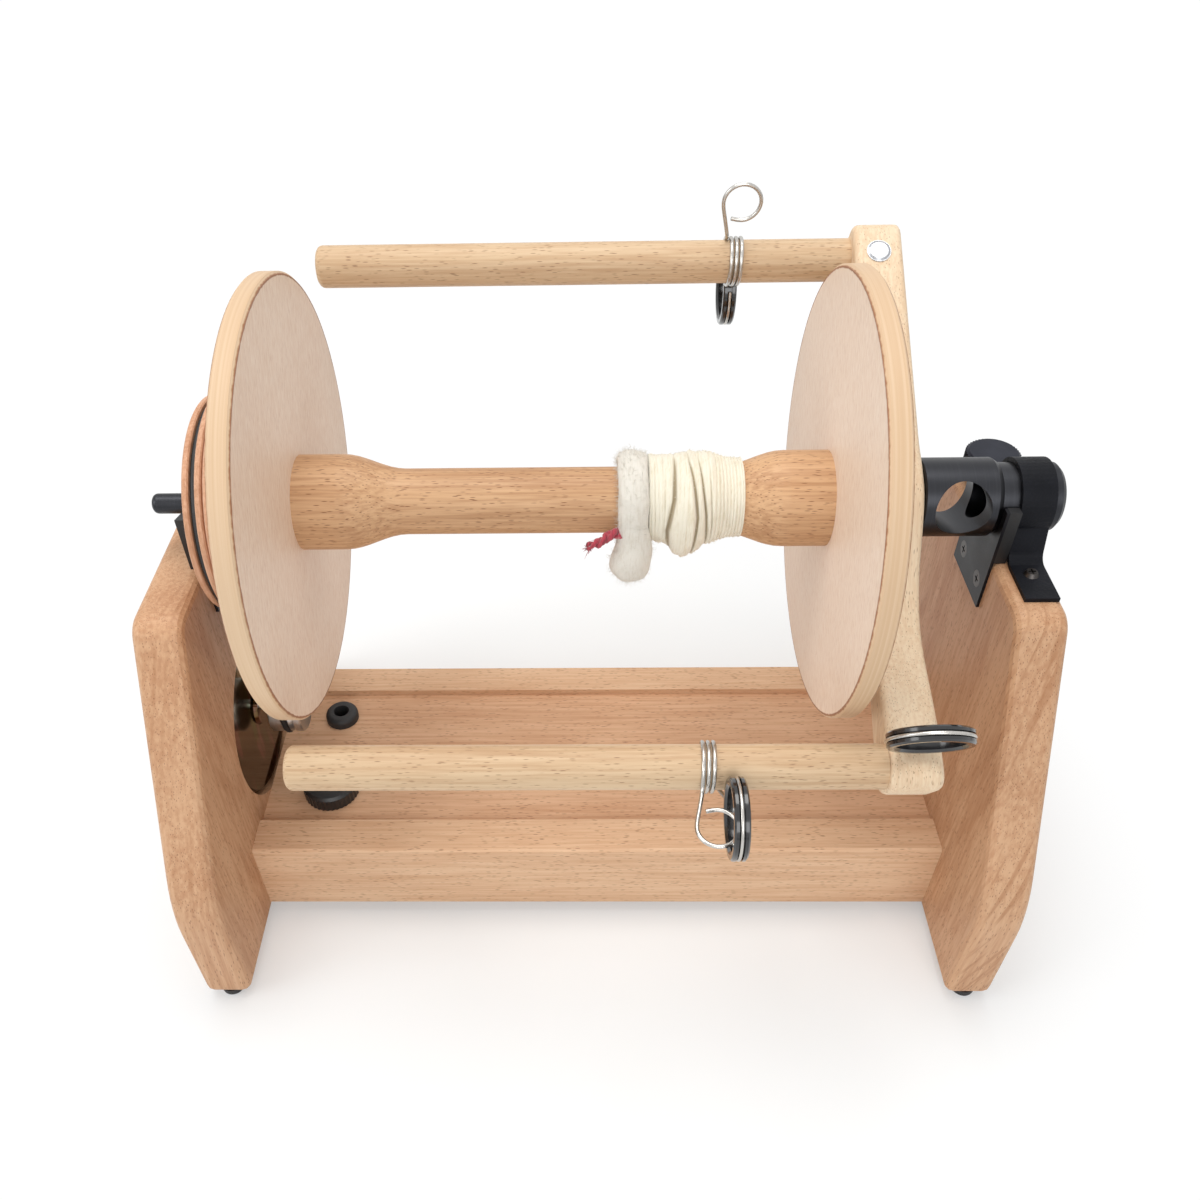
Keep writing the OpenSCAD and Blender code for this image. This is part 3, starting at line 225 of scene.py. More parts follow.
def flange_finish(name):
    """Fine board on the faces, with pale edges and a scorched line where face and rim meet."""
    f = Finish(name, rough=0.5, specular_ior_level=WOOD_GLOSS)
    here = f.here()
    low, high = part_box("left_bobbin_flange")
    centre = (low + high) / 2
    radius, _, _, _ = f.round_axis((0, centre.y, centre.z))
    edge = (high.z - low.z) / 2
    grain_lean = math.radians(28)
    grain = f.stretched(f.here(turn=(grain_lean, 0, 0)), (900, 900, 130))
    fibre = f.noise(grain, detail=3.0, rough=0.7)
    cloud = f.noise(f.stretched(here, (14, 14, 8)), detail=2.0)
    pores = f.cells(grain, 1.3).between(0.1, 0.32)
    tone = (fibre * 0.75 + cloud * 0.25).between(0.34, 0.68)
    face = f.mix(tone, (0.88, 0.73, 0.60), (0.785, 0.60, 0.465))
    face = f.mix((1 - pores) * 0.36, face, (0.48, 0.28, 0.19))
    layers = f.noise(f.stretched(here, (900, 5, 5)), detail=1.0)
    rim = f.mix(layers.between(0.3, 0.7), (0.69, 0.505, 0.335), (0.63, 0.435, 0.27))
    colour = f.mix(radius.between(edge - 1.3 * MM, edge - 0.9 * MM), face, rim)
    uneven = f.noise(f.stretched(here, (300, 300, 300)), detail=2.0) * (0.9 * MM)
    inner = (radius + uneven).between(edge - 1.8 * MM, edge - 1.2 * MM)
    outer = (radius - uneven).between(edge - 1.6 * MM, edge - 1.0 * MM)
    scorch = inner * (1 - outer)
    f.set("Base Color", f.mix(scorch * 0.9, colour, (0.30, 0.115, 0.045)))
    f.set("Roughness", fibre * 0.15 + 0.42)
    f.bump(fibre + pores * 0.4, strength=0.15, depth=0.1 * MM)
    return f


def turned_metal(name, colour, rough, wear=0.15):
    """Bright or dark metal with fine rings left by the lathe and worn, paler patches."""
    f = Finish(name, colour, rough, 1.0)
    here = f.here()
    rings = f.noise(f.stretched(here, (2600, 25, 25)), detail=2.0)
    smear = f.noise(f.stretched(here, (60, 60, 60)), detail=3.0)
    bright = tuple(min(1.0, c * 1.7 + 0.02) for c in colour)
    worn = rings.between(0.45, 0.75) * wear + smear.between(0.5, 0.8) * wear
    f.set("Base Color", f.mix(worn, colour, bright))
    f.set("Roughness", rings * 0.12 + smear * 0.10 + (rough - 0.1))
    f.bump(rings, strength=0.12, depth=0.05 * MM)
    return f


def mirror_shell(name, colour, green, pink_reflection):
    """A thin yellow plating that shines like a mirror, with faint green and pink reflections painted in."""
    f = Finish(name, colour, 0.12, 1.0)
    here = f.here()
    wave = f.noise(f.stretched(here, (60, 70, 22)), detail=2.0)
    pink_reflection_spots = f.noise(f.stretched(f.here(move=(0.3, 0.1, 0.2)), (70, 90, 26)), detail=2.0)
    dull = f.noise(f.stretched(here, (50, 50, 50)), detail=3.0)
    # Painted reflections: faint green and pink patches mixed into the plating's colour.
    with_green_reflection = f.mix(wave.between(0.5, 0.66) * 0.8, colour, green)
    f.set("Base Color", f.mix(pink_reflection_spots.between(0.56, 0.7) * 0.7, with_green_reflection, pink_reflection))
    f.set("Roughness", dull * 0.16 + 0.05)
    f.bump(wave, strength=0.15, depth=0.6 * MM)
    return f


def blackened(name, colour, rough):
    """Steel with a dull black coat, gritty and a little smeared."""
    f = Finish(name, colour, rough, 0.85)
    here = f.here()
    grit = f.noise(here, 1800, detail=3.0)
    smear = f.noise(here, 70, detail=3.0)
    paler = tuple(c * 1.5 + 0.012 for c in colour)
    f.set("Base Color", f.mix(smear.between(0.4, 0.75) * 0.5 + grit * 0.15, colour, paler))
    f.set("Roughness", smear * 0.22 + grit * 0.08 + (rough - 0.15))
    f.bump(grit, strength=0.12, depth=0.05 * MM)
    return f


def moulded(name, colour, rough, **fixed):
    """Plastic or rubber with a fine moulded grain and a little dust."""
    f = Finish(name, colour, rough, **fixed)
    here = f.here()
    fine = f.noise(here, 1500, detail=2.0)
    dust = f.noise(here, 120, detail=4.0, rough=0.7)
    dusty = tuple(c * 1.8 + 0.01 for c in colour)
    f.set("Base Color", f.mix(dust.between(0.5, 0.8) * 0.35, colour, dusty))
    f.set("Roughness", fine * 0.12 + dust * 0.12 + (rough - 0.12))
    f.bump(fine, strength=0.1, depth=0.06 * MM)
    return f


def leather(name):
    """Black leather with a cell-like grain and fine creases."""
    black, worn = (0.004, 0.0045, 0.0065), (0.012, 0.013, 0.018)
    f = Finish(name, black, 0.5, specular_ior_level=0.12)
    here = f.here()
    grain = f.cells(here, 900, feature="SMOOTH_F1")
    crease = f.noise(f.stretched(here, (160, 420, 420)), detail=3.0)
    patch = f.noise(here, 45, detail=2.0)
    f.set("Base Color", f.mix(patch.between(0.3, 0.7) * 0.5 + grain * 0.3, black, worn))
    f.set("Roughness", grain * 0.2 + crease * 0.15 + 0.34)
    f.bump(grain * 0.8 + crease * 0.7, strength=0.5, depth=0.3 * MM)
    return f


def wool(name, pale, deep):
    """Combed fibres that run round the bobbin, with painted shade that darkens the hollows between them."""
    f = Finish(name, pale, 0.92, sheen_weight=0.35, sheen_roughness=0.6)
    radius, x, y, z = f.round_axis((0, AXIS.y, AXIS.z))
    angle = f.node("ShaderNodeMath", {0: z * -1.0, 1: y * -1.0}, operation="ARCTAN2")
    fibre = f.noise(f.joined(x * 1300, angle * 1.6, radius * 500), 1.0, detail=3.0, rough=0.55)
    lump = f.noise(f.joined(x * 260, angle * 2.2, radius * 160), 1.0, detail=2.0)
    stray = f.noise(f.joined(x * 700 + angle * 9, angle * 6.0, radius * 300), 1.0, detail=3.0)
    tone = fibre * 0.5 + lump * 0.3 + stray * 0.2
    # Painted shade: the yarn's crease attribute darkens the colour in the hollows between strands.
    crease = f.node("ShaderNodeAttribute", output="Fac", attribute_name="crease")
    soft = f.mix(tone.between(0.34, 0.54), deep, pale)
    f.set("Base Color", f.mix(crease.between(0.05, 0.9) * 0.85, soft, shaded(deep, (0.42, 0.34, 0.22))))
    f.bump(fibre * 0.7 + stray * 0.5, strength=0.4, depth=0.3 * MM)
    return f


finishes = {
    "panel_beech": beech("panel beech", (0.615, 0.375, 0.222), (0.49, 0.262, 0.142), ring=0.75, scale=0.75,
                         lean=1.45, turn=(0, math.radians(86), 0), heart=0.6),
    "rail_beech": beech("rail beech", (0.74, 0.50, 0.32), (0.635, 0.385, 0.228), ring=0.3,
                        move=(0.11, 0.05, 0)),
    "floor_beech": beech("floor beech", (0.71, 0.45, 0.28), (0.58, 0.325, 0.185), ring=0.4, scale=0.8,
                         move=(0.3, 0.02, 0.1)),
    "flyer_beech": beech("flyer beech", (0.81, 0.655, 0.47), (0.72, 0.525, 0.345), ring=0.3, fleck=0.9,
                         turn=(math.radians(-57.5), 0, math.radians(90)), move=(0.2, 0, 0)),
    "arm_beech": beech("arm beech", (0.655, 0.48, 0.305), (0.535, 0.35, 0.205), ring=0.3,
                       move=(0.02, 0.01, 0.3)),
    "core_beech": beech("core beech", (0.64, 0.40, 0.225), (0.465, 0.255, 0.13), ring=0.35, fleck=1.2,
                        move=(0.5, 0.2, 0)),
    "flange_board": flange_finish("flange board"),
    "whorl_beech": beech("whorl beech", (0.66, 0.39, 0.25), (0.50, 0.255, 0.145), ring=0.2, fleck=0.5,
                         turn=(0, math.radians(90), 0)),
    "rubber": moulded("soft rubber", (0.02, 0.02, 0.021), 0.6),
    "screw_steel": turned_metal("dark screws", (0.075, 0.068, 0.065), 0.38),
    "bracket_steel": blackened("bearing steel", (0.015, 0.015, 0.018), 0.44),
    "bearing_nylon": moulded("bearing nylon", (0.009, 0.009, 0.010), 0.45),
    "strap_leather": leather("strap leather"),
    "knob_steel": blackened("knob steel", (0.021, 0.023, 0.033), 0.45),
    "motor_gold": mirror_shell("bright motor shell", (0.115, 0.072, 0.028), green=(0.10, 0.135, 0.035),
                               pink_reflection=(0.27, 0.12, 0.12)),
    "pulley_aluminium": turned_metal("turned aluminium", (0.62, 0.61, 0.60), 0.32),
    "belt_rubber": moulded("belt rubber", (0.012, 0.012, 0.013), 0.5),
    "control_plastic": moulded("black plastic", (0.014, 0.014, 0.015), 0.38),
    "circuit_board": moulded("circuit board", (0.03, 0.14, 0.07), 0.4),
    "plug_steel": turned_metal("polished plug", (0.42, 0.43, 0.45), 0.26, wear=0.3),
    "tube_steel": turned_metal("gunmetal", (0.042, 0.043, 0.048), 0.34, wear=0.15),
    "guide_black": moulded("glossy guide rings", (0.007, 0.007, 0.008), 0.16, coat_weight=0.6,
                           coat_roughness=0.08),
    "spring_wire": turned_metal("spring wire", (0.52, 0.50, 0.47), 0.24, wear=0.15),
    "cream_wool": wool("cream wool", (0.80, 0.76, 0.635), (0.70, 0.635, 0.48)),
    "combed_wool": wool("combed wool", (0.715, 0.69, 0.625), (0.635, 0.60, 0.525)),
    "red_wool": wool("red wool", (0.42, 0.035, 0.06), (0.16, 0.008, 0.02)),
}


for entry in frame["record"]["subparts"]:
    node = frame["nodes"][entry["node"]]
    if node.material_slots:
        for place in node.material_slots:
            place.material = finishes[entry["material_slot"]].material
    else:
        node.data.materials.append(finishes[entry["material_slot"]].material)


# ---------------------------------------------------------------- new pieces

def finished(name, mesh_or_bm, body, slot, smooth=0):
    """Links a mesh as a piece that rides on a body and wears a slot's finish. Edges sharper than smooth,
    in degrees, stay sharp."""
    if isinstance(mesh_or_bm, bmesh.types.BMesh):
        mesh = bpy.data.meshes.new(name)
        mesh_or_bm.to_mesh(mesh)
        mesh_or_bm.free()
    else:
        mesh = mesh_or_bm
    piece = bpy.data.objects.new(name, mesh)
    bpy.context.scene.collection.objects.link(piece)
    mesh.shade_smooth()
    if smooth:
        mesh.set_sharp_from_angle(angle=math.radians(smooth))
    mesh.materials.append(finishes[slot].material)
    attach(piece, body)
    return piece


def relaxed(points, rounds=2):
    """Rounds the corners of a path, keeping its ends."""
    for _ in range(rounds):
        inner = [(a + 2 * b + c) / 4 for a, b, c in zip(points, points[1:], points[2:])]
        points = [points[0], *inner, points[-1]]
    return points


def evenly(points, step):
    """Points at about equal steps along a path."""
    out = [points[0]]
    for a, b in zip(points, points[1:]):
        count = max(1, round((b - a).length / step))
        out += [a.lerp(b, (k + 1) / count) for k in range(count)]
    return out


def wire_mesh(name, points, radius, radii=None, sides=3):
    """A round wire along points, as a mesh."""
    curve = bpy.data.curves.new(name, "CURVE")
    curve.dimensions = "3D"
    curve.bevel_depth = radius
    curve.bevel_resolution = sides
    curve.use_fill_caps = True
    line = curve.splines.new("POLY")
    line.points.add(len(points) - 1)
    for k, (place, point) in enumerate(zip(points, line.points)):
        point.co = (*place, 1.0)
        point.radius = radii[k] if radii else 1.0
    holder = bpy.data.objects.new(name, curve)
    mesh = bpy.data.meshes.new_from_object(holder)
    bpy.data.objects.remove(holder)
    bpy.data.curves.remove(curve)
    return mesh


def polar(x, radius, angle, about):
    """Point at a distance and an angle, in degrees, round an axis along X."""
    a = math.radians(angle)
    return Vector((x, about.y + radius * math.cos(a), about.z + radius * math.sin(a)))


# Radii of the clips' wire, its turns round the arm, its handle loop and its loop in the ring's groove
WIRE = 1.0 * MM
COIL = 11.75 * MM
HANDLE = 9.6 * MM
LOOP = 17.8 * MM
# Advance of the turns along the arm, points in each of them, and the step between points on straight wire
PITCH = 2.5 * MM
TURN_POINTS = 30
WIRE_STEP = 2 * MM


def clip_wire(name, body, arm, clip_x, ring_node, handle_turn, ring_turn, turns):
    """Spring clip: a handle loop, turns round the arm and a loop in the groove of its guide ring."""
    ring_low, ring_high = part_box(ring_node)
    ring = (ring_low + ring_high) / 2
    out = Vector((0, ring.y - arm.y, ring.z - arm.z)).length
    start = clip_x - turns * PITCH / 2
    handle_x = start + 0.57 * HANDLE
    handle_out = COIL + 20 * MM
    points = [polar(start + 0.8 * MM, handle_out - HANDLE * 0.86, handle_turn, arm)]
    for angle in range(-96, 181, 12):
        a = math.radians(angle)
        points.append(polar(handle_x + HANDLE * math.cos(a), handle_out + HANDLE * math.sin(a), handle_turn,
                            arm))
    leg = polar(start, COIL + 2.2 * MM, handle_turn, arm)
    points += evenly([points[-1], leg], WIRE_STEP)[1:]
    points.append(polar(start, COIL + 0.7 * MM, handle_turn - 2, arm))
    for k in range(1, round(turns * TURN_POINTS) + 1):
        points.append(polar(start + PITCH * k / TURN_POINTS, COIL, handle_turn - 360 / TURN_POINTS * k, arm))
    u = Vector((0, math.cos(math.radians(ring_turn)), math.sin(math.radians(ring_turn))))
    v = Vector((0, -u.z, u.y))
    lead = Vector((ring.x, arm.y, arm.z)) + u * (out - LOOP - 0.2 * MM) + v * COIL
    points += evenly([points[-1], lead], WIRE_STEP)[1:]
    for angle in range(130, -156, -8):
        a = math.radians(angle)
        points.append(ring + u * LOOP * math.cos(a) + v * LOOP * math.sin(a))
    return finished(name, wire_mesh(name, relaxed(points, 3), WIRE, sides=4), body, "spring_wire", smooth=60)


front_wire = clip_wire("front_clip_wire", "front_guide", FRONT_ARM, MIDDLE_X + 51 * MM, "front_guide_ring",
                       handle_turn=187, ring_turn=180, turns=2.77)
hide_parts("front_clip_spring")
back_wire = clip_wire("back_clip_wire", "back_guide", BACK_ARM, MIDDLE_X + 72.3 * MM, "back_guide_ring",
                      handle_turn=98, ring_turn=-50, turns=3.13)
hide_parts("back_clip_spring")


SAME_PLACE = 0.001 * MM


def outer_outline(node, x):
    """Corners, in order, of the outer outline of a node's flat face that lies at x."""
    bm = bmesh.new()
    bm.from_mesh(frame["nodes"][node].data)
    bmesh.ops.remove_doubles(bm, verts=bm.verts, dist=SAME_PLACE)
    bm.normal_update()
    after = {}
    for e in bm.edges:
        tilts = sorted(abs(f.normal.x) for f in e.link_faces)
        on_face = all(abs(v.co.x - x) < SAME_PLACE for v in e.verts)
        if on_face and len(tilts) == 2 and tilts[0] < 0.5 < tilts[1]:
            for a, b in (e.verts, reversed(e.verts)):
                after.setdefault(a, []).append(b)
    loops = []
    while after:
        loop = [next(iter(after))]
        while True:
            ways = [v for v in after.pop(loop[-1], []) if v in after]
            if not ways:
                break
            loop.append(ways[0])
        loops.append([v.co.copy() for v in loop])
    bm.free()
    return max(loops, key=lambda loop: sum((a - b).length for a, b in zip(loop, loop[1:])))


def rounded_board(name, node, body, slot, radius):
    """A board with a node's outline and thickness along X, with its long edges rounded."""
    low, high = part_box(node)
    bm = bmesh.new()
    face = bm.faces.new([bm.verts.new(c) for c in outer_outline(node, low.x)])
    top = bmesh.ops.extrude_face_region(bm, geom=[face])["geom"]
    bmesh.ops.translate(bm, verts=[v for v in top if isinstance(v, bmesh.types.BMVert)],
                        vec=(high.x - low.x, 0, 0))
    edges = [e for e in bm.edges if abs(e.verts[0].co.x - e.verts[1].co.x) < SAME_PLACE]
    bmesh.ops.bevel(bm, geom=edges, offset=radius, segments=6, affect="EDGES", profile=0.5, material=-1,
                    clamp_overlap=True)
    bmesh.ops.remove_doubles(bm, verts=bm.verts, dist=SAME_PLACE)
    bmesh.ops.recalc_face_normals(bm, faces=bm.faces)
    piece = finished(name, bm, body, slot, smooth=35)
    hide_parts(node)


rounded_board("rounded_yoke", "flyer_yoke", "flyer", "flyer_beech", 3.5 * MM)


# ---------------------------------------------------------------- yarn on the bobbin
# Its sizes are in millimetres, with x along the axis from the bobbin's middle. Angles of the wound yarn and
# its hollows run round the axis from the front over the top to the back, those of the roving and the red
# thread from the back over the top to the front.

def round_core(x, radius, angle):
    """Point beside the core, at a distance from the axis and an angle in degrees."""
    return polar(MIDDLE_X + x * MM, radius * MM, angle, AXIS)


def looked_up(table, at):
    """Height at a place on a line that runs through a table's points."""
    for (x0, y0), (x1, y1) in zip(table, table[1:]):
        if at <= x1:
            return y0 + (y1 - y0) * max(0.0, (at - x0) / (x1 - x0))
    return table[-1][1]


# Radii of the wound yarn along the axis, on the side that sags least and on the side that sags most
YARN_ABOVE = [(25, 22.2), (29, 22.0), (36, 21.8), (40, 22.5), (44, 23.5), (50, 23.4), (55, 23.2), (58, 22.4),
              (61, 21.2), (64, 20.4), (71, 20.1)]
YARN_BELOW = [(25, 20.6), (29, 20.4), (33, 20.8), (35.5, 22.6), (38.5, 26.2), (42.5, 28.2), (46.5, 27.6),
              (50, 25.0), (52.5, 22.4), (56, 21.8), (58, 20.8), (61, 19.9), (64, 18.9), (71, 18.6)]
# Hollows between the strands: depth, half width and where each runs, as angles and places along the axis
HOLLOWS = (
    (0.9, 0.55, ((-180, 26.8), (-40, 27.0), (60, 26.7), (180, 26.8))),
    (1.0, 0.6, ((-180, 28.6), (-30, 28.8), (70, 28.3), (180, 28.6))),
    (0.55, 0.7, ((-180, 30.8), (0, 30.6), (70, 30.9), (180, 30.8))),
    (0.8, 0.9, ((-180, 33.2), (-20, 32.8), (60, 33.4), (180, 33.2))),
    (2.5, 2.1, ((-180, 37.5), (-100, 37.6), (-55, 36.4), (-30, 35.0), (-10, 34.6), (5, 35.4), (35, 37.3),
                (74, 37.8), (135, 38.2), (180, 37.5))),
    (0.7, 0.9, ((-180, 41.5), (-20, 41.0), (40, 41.4), (90, 42.4), (180, 41.5))),
    (2.2, 1.7, ((-180, 45.5), (-60, 46.2), (-18, 47.4), (14, 48.2), (57, 46.2), (84, 44.6), (120, 44.4),
                (180, 45.5))),
    (2.0, 1.4, ((-180, 51.0), (-40, 53.6), (-15, 53.2), (14, 52.4), (45, 50.8), (92, 49.0), (140, 49.2),
                (180, 51.0))),
    (1.3, 0.8, ((-180, 55.2), (0, 55.4), (60, 54.2), (180, 55.2))))
# Thin, even turns of yarn at the right end: where they begin, and the hollows between them
FINE_START = 56
FINE_TURNS = [57.1, 58.9, 60.5, 62.3, 63.9, 65.3, 66.9, 68.5, 69.7]


def ragged(bm, amount, grain, squeeze=(1, 1, 1)):
    """Moves every corner by smooth noise, so that nothing soft looks turned."""
    for v in bm.verts:
        p = Vector(a * b for a, b in zip(v.co, squeeze)) / grain
        v.co += noise.noise_vector(p) * amount


def hollow(depth, half, away):
    """A crease with a sharp floor and soft shoulders."""
    near = max(0.0, 1 - abs(away) / half)
    return -depth * near ** 1.6


def creases(x, angle):
    """How deep the hollows between the strands are at a place; they are deepest in front."""
    deep = 0.0
    fade = 0.3 + 0.7 * max(0.0, math.cos(angle - math.radians(15)))
    for depth, half, run in HOLLOWS:
        deep += hollow(depth * fade, half, x - looked_up(run, math.degrees(angle)))
    lean = 0.35 * math.sin(angle + 1.0)
    if x > FINE_START:
        deep += sum(hollow(0.8, 0.85, x - turn - lean) for turn in FINE_TURNS)
    return deep


def yarn_radius(x, angle):
    """How far the wool stands from the axis; the heavy strands sag towards the front and below."""
    low = (1 - math.sin(angle - math.radians(25))) / 2
    r = looked_up(YARN_ABOVE, x) * (1 - low) + looked_up(YARN_BELOW, x) * low + creases(x, angle)
    soft = noise.noise(Vector((x * 0.45, math.cos(angle) * 0.8, math.sin(angle) * 0.8)))
    combed = noise.noise(Vector((x * 1.5, math.cos(angle) * 1.4, math.sin(angle) * 1.4)))
    if x < FINE_START:
        return r + soft * 0.7 + combed * 0.35
    return r + soft * 0.2 + combed * 0.12


def placed(bm):
    """Takes a mesh drawn in millimetres round the axis to its place."""
    bmesh.ops.scale(bm, verts=bm.verts, vec=(MM, MM, MM))
    bmesh.ops.translate(bm, verts=bm.verts, vec=(MIDDLE_X, AXIS.y, AXIS.z))


def loft(bm, rings, sides):
    """A skin over oval rings, each given as centre, direction, side way, half width and half thickness."""
    loops = []
    for centre, ahead, sideways, width, thick in rings:
        ahead = ahead.normalized()
        sideways = (sideways - ahead * sideways.dot(ahead)).normalized()
        turn = Matrix((sideways, ahead.cross(sideways), ahead)).transposed().to_4x4()
        place = Matrix.Translation(centre) @ turn @ Matrix.Diagonal((width, thick, 1, 1))
        made = bmesh.ops.create_circle(bm, segments=sides, radius=1.0, matrix=place)
        loops.append(list({e for v in made["verts"] for e in v.link_edges}))
    for a, b in zip(loops, loops[1:]):
        bmesh.ops.bridge_loops(bm, edges=a + b)
    bmesh.ops.holes_fill(bm, edges=loops[0] + loops[-1], sides=0)


def in_order(bm):
    """Puts faces in the order of their corners. A spin makes the same corners on each run, but leaves its
    faces in any order, and the loose fibres are drawn by a face's place in that order."""
    bm.verts.index_update()
    count = len(bm.verts)

    def first_and_last(face):
        corners = [v.index for v in face.verts]
        return min(corners) * count + max(corners)

    bm.faces.sort(key=first_and_last)


def yarn():
    """The wound wool: one soft skin turned round the core, then pressed into strands and lobes."""
    first, last, across, around = 25.6, 70.9, 180, 150
    core, skin = 17.5, 30.0
    bm = bmesh.new()
    crease = bm.verts.layers.float.new("crease")
    places = [first + (last - first) * k / across for k in range(across + 1)]
    outline = [(first, core - 0.5)] + [(x, skin) for x in places] + [(last, core - 0.1)]
    profile = [bm.verts.new((x, 0, r)) for x, r in outline]
    edges = [bm.edges.new(pair) for pair in zip(profile, profile[1:] + profile[:1])]
    bmesh.ops.spin(bm, geom=profile + edges, cent=(0, 0, 0), axis=(1, 0, 0), angle=2 * math.pi, steps=around,
                   use_merge=True)
    in_order(bm)
    for v in bm.verts:
        r = math.hypot(v.co.y, v.co.z)
        if r > skin - 1:
            angle = math.atan2(v.co.z, -v.co.y)
            ends = min(1.0, (v.co.x - first + 0.15) / 1.3, (last - v.co.x + 0.15) / 0.8)
            wide = core + (yarn_radius(v.co.x, angle) - core) * math.sqrt(max(0.05, 1 - (1 - ends) ** 2))
            v.co.y, v.co.z = v.co.y * wide / r, v.co.z * wide / r
            # How deep the hollow is here; the wool's colour turns it into painted shade.
            v[crease] = min(1.0, -creases(v.co.x, angle) / 1.4) ** 1.8
    bmesh.ops.recalc_face_normals(bm, faces=bm.faces)
    placed(bm)
    piece = finished("wound_yarn", bm, "bobbin", "cream_wool")
    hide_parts("yarn_core", "yarn_winding")
    return piece


def roving():
    """Unspun roving over the core, whose end hangs in front as a soft curl. Its path is a list of places
    with the half width and half thickness there."""
    over_core, start, end = 20.2, 28, 184
    path = []
    for angle in range(start, end, 7):
        a = math.radians(angle)
        swell = math.sin(math.radians((angle - start) * 180 / 160))
        path.append((Vector((18.3, over_core * math.cos(a), over_core * math.sin(a))),
                     7.1 + 0.3 * swell, 1.9 + 2.2 * min(1.0, (angle - 20) / 40)))
    path += [(Vector(c), w, t) for c, w, t in (
        ((18.4, -20.7, -3.2), 7.6, 4.4), ((18.6, -21.1, -7.4), 8.2, 4.9),
        ((18.6, -21.5, -11.6), 8.9, 5.6), ((18.2, -22.0, -15.6), 9.6, 6.3),
        ((17.6, -22.4, -19.4), 10.1, 6.9), ((16.9, -22.7, -22.8), 10.1, 7.0),
        ((16.1, -22.9, -25.8), 9.2, 6.4), ((15.4, -22.9, -28.0), 7.4, 5.2),
        ((14.9, -22.9, -29.6), 4.8, 3.6), ((14.7, -22.9, -30.3), 2.0, 1.6))]
    spots = [c for c, _, _ in path]
    ways = [b - a for a, b in zip([spots[0]] + spots, spots[1:] + [spots[-1]])]
    bm = bmesh.new()
    side = Vector((1, 0, 0))
    rings = []
    for (c, w, t), ahead in zip(path, ways):
        side = (side - ahead.normalized() * side.dot(ahead.normalized())).normalized()
        rings.append((c, ahead, side, w, t))
    loft(bm, rings, 24)
    bmesh.ops.subdivide_edges(bm, edges=bm.edges, cuts=1, use_grid_fill=True)
    bmesh.ops.smooth_vert(bm, verts=bm.verts, factor=0.5, use_axis_x=True, use_axis_y=True, use_axis_z=True)
    ragged(bm, 0.6, 8.0)
    ragged(bm, 0.25, 2.6, (1, 0.5, 0.5))
    bmesh.ops.recalc_face_normals(bm, faces=bm.faces)
    placed(bm)
    piece = finished("roving_end", bm, "bobbin", "combed_wool")
    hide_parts("roving_tail")
    return piece


def red_end():
    """Two-ply red thread that shows beside the roving and frays at its tip."""
    start = round_core(12.2, 22.4, 190)
    way = Vector((-0.95, -0.22, -0.16)).normalized()
    side = way.cross(Vector((0, 0, 1))).normalized()
    up = side.cross(way)
    chance = random.Random(4)
    bm = bmesh.new()

    def add(points, radius, radii):
        mesh = wire_mesh("ply", points, radius, radii, sides=3)
        bm.from_mesh(mesh)
        bpy.data.meshes.remove(mesh)

    def across(a):
        return side * math.cos(a) + up * math.sin(a)

    def drop(t):
        return up * (1.2 * t * t + 2.6 * t ** 5)

    steps, length, frayed_at_tip = 28, 17.0, 16
    for ply in range(2):
        points, radii = [], []
        for k in range(steps + 1):
            t = k / steps
            bend = up * math.sin(t * 7.5) * 1.1 - drop(t)
            off = across(ply * math.pi + t * 11) * (1.35 - 0.3 * t)
            points.append(start + (way * (length * t) + bend + off) * MM)
            radii.append((1.5 + 0.25 * math.sin(k * 1.7 + ply)) * (1.0 - 0.45 * t ** 3))
        add(points, 1.0 * MM, radii)
    for thread in range(46):
        t = 1.0 if thread < frayed_at_tip else chance.random()
        outwards = across(chance.uniform(0, 2 * math.pi))
        base = start + (way * ((length - 0.4) * t) - drop(t) + outwards * 1.1) * MM
        lean = way * chance.uniform(0.1, 1.0) + outwards * chance.uniform(0.2, 0.9)
        reach = chance.uniform(1.2, 3.6)
        fall = Vector((0, 0, -chance.uniform(0.1, 1.2)))
        points = [base + (lean * (reach * q / 4) + fall * (q / 4) ** 2) * MM for q in range(5)]
        add(points, 0.16 * MM, [1.0, 0.9, 0.75, 0.55, 0.25])
    bmesh.ops.remove_doubles(bm, verts=bm.verts, dist=1e-7)
    for v in bm.verts:
        v.co += noise.noise_vector(v.co * 900) * (0.2 * MM)
    piece = finished("red_yarn_end", bm, "bobbin", "red_wool")
    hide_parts("red_yarn_tail")


def loose_fibres(name, source, slot, count, seed, longest):
    """Single fibres that stand out of a soft surface."""
    chance = random.Random(seed)
    faces = list(source.data.polygons)
    bm = bmesh.new()
    for _ in range(count):
        face = chance.choice(faces)
        base = face.center.copy()
        flat = Vector((chance.uniform(-1, 1), chance.uniform(-1, 1), chance.uniform(-1, 1)))
        flat = (flat - face.normal * flat.dot(face.normal)).normalized()
        length = chance.uniform(0.4, 1.0) * longest
        curl = chance.uniform(0.25, 0.8)
        rise = chance.uniform(0.3, 1.0)
        points = [base + (flat * math.sin(q * 0.7) * curl + face.normal * (q / 4) * rise) * length
                  for q in range(5)]
        mesh = wire_mesh("fibre", points, 0.065 * MM, [1.0, 0.9, 0.75, 0.5, 0.2], sides=0)
        bm.from_mesh(mesh)
        bpy.data.meshes.remove(mesh)
    finished(name, bm, "bobbin", slot)


wound = yarn()
hanging = roving()
red_end()
loose_fibres("roving_fibres", hanging, "combed_wool", count=1500, seed=7, longest=3.6 * MM)
loose_fibres("yarn_fibres", wound, "cream_wool", count=700, seed=8, longest=1.6 * MM)


# ---------------------------------------------------------------- studio

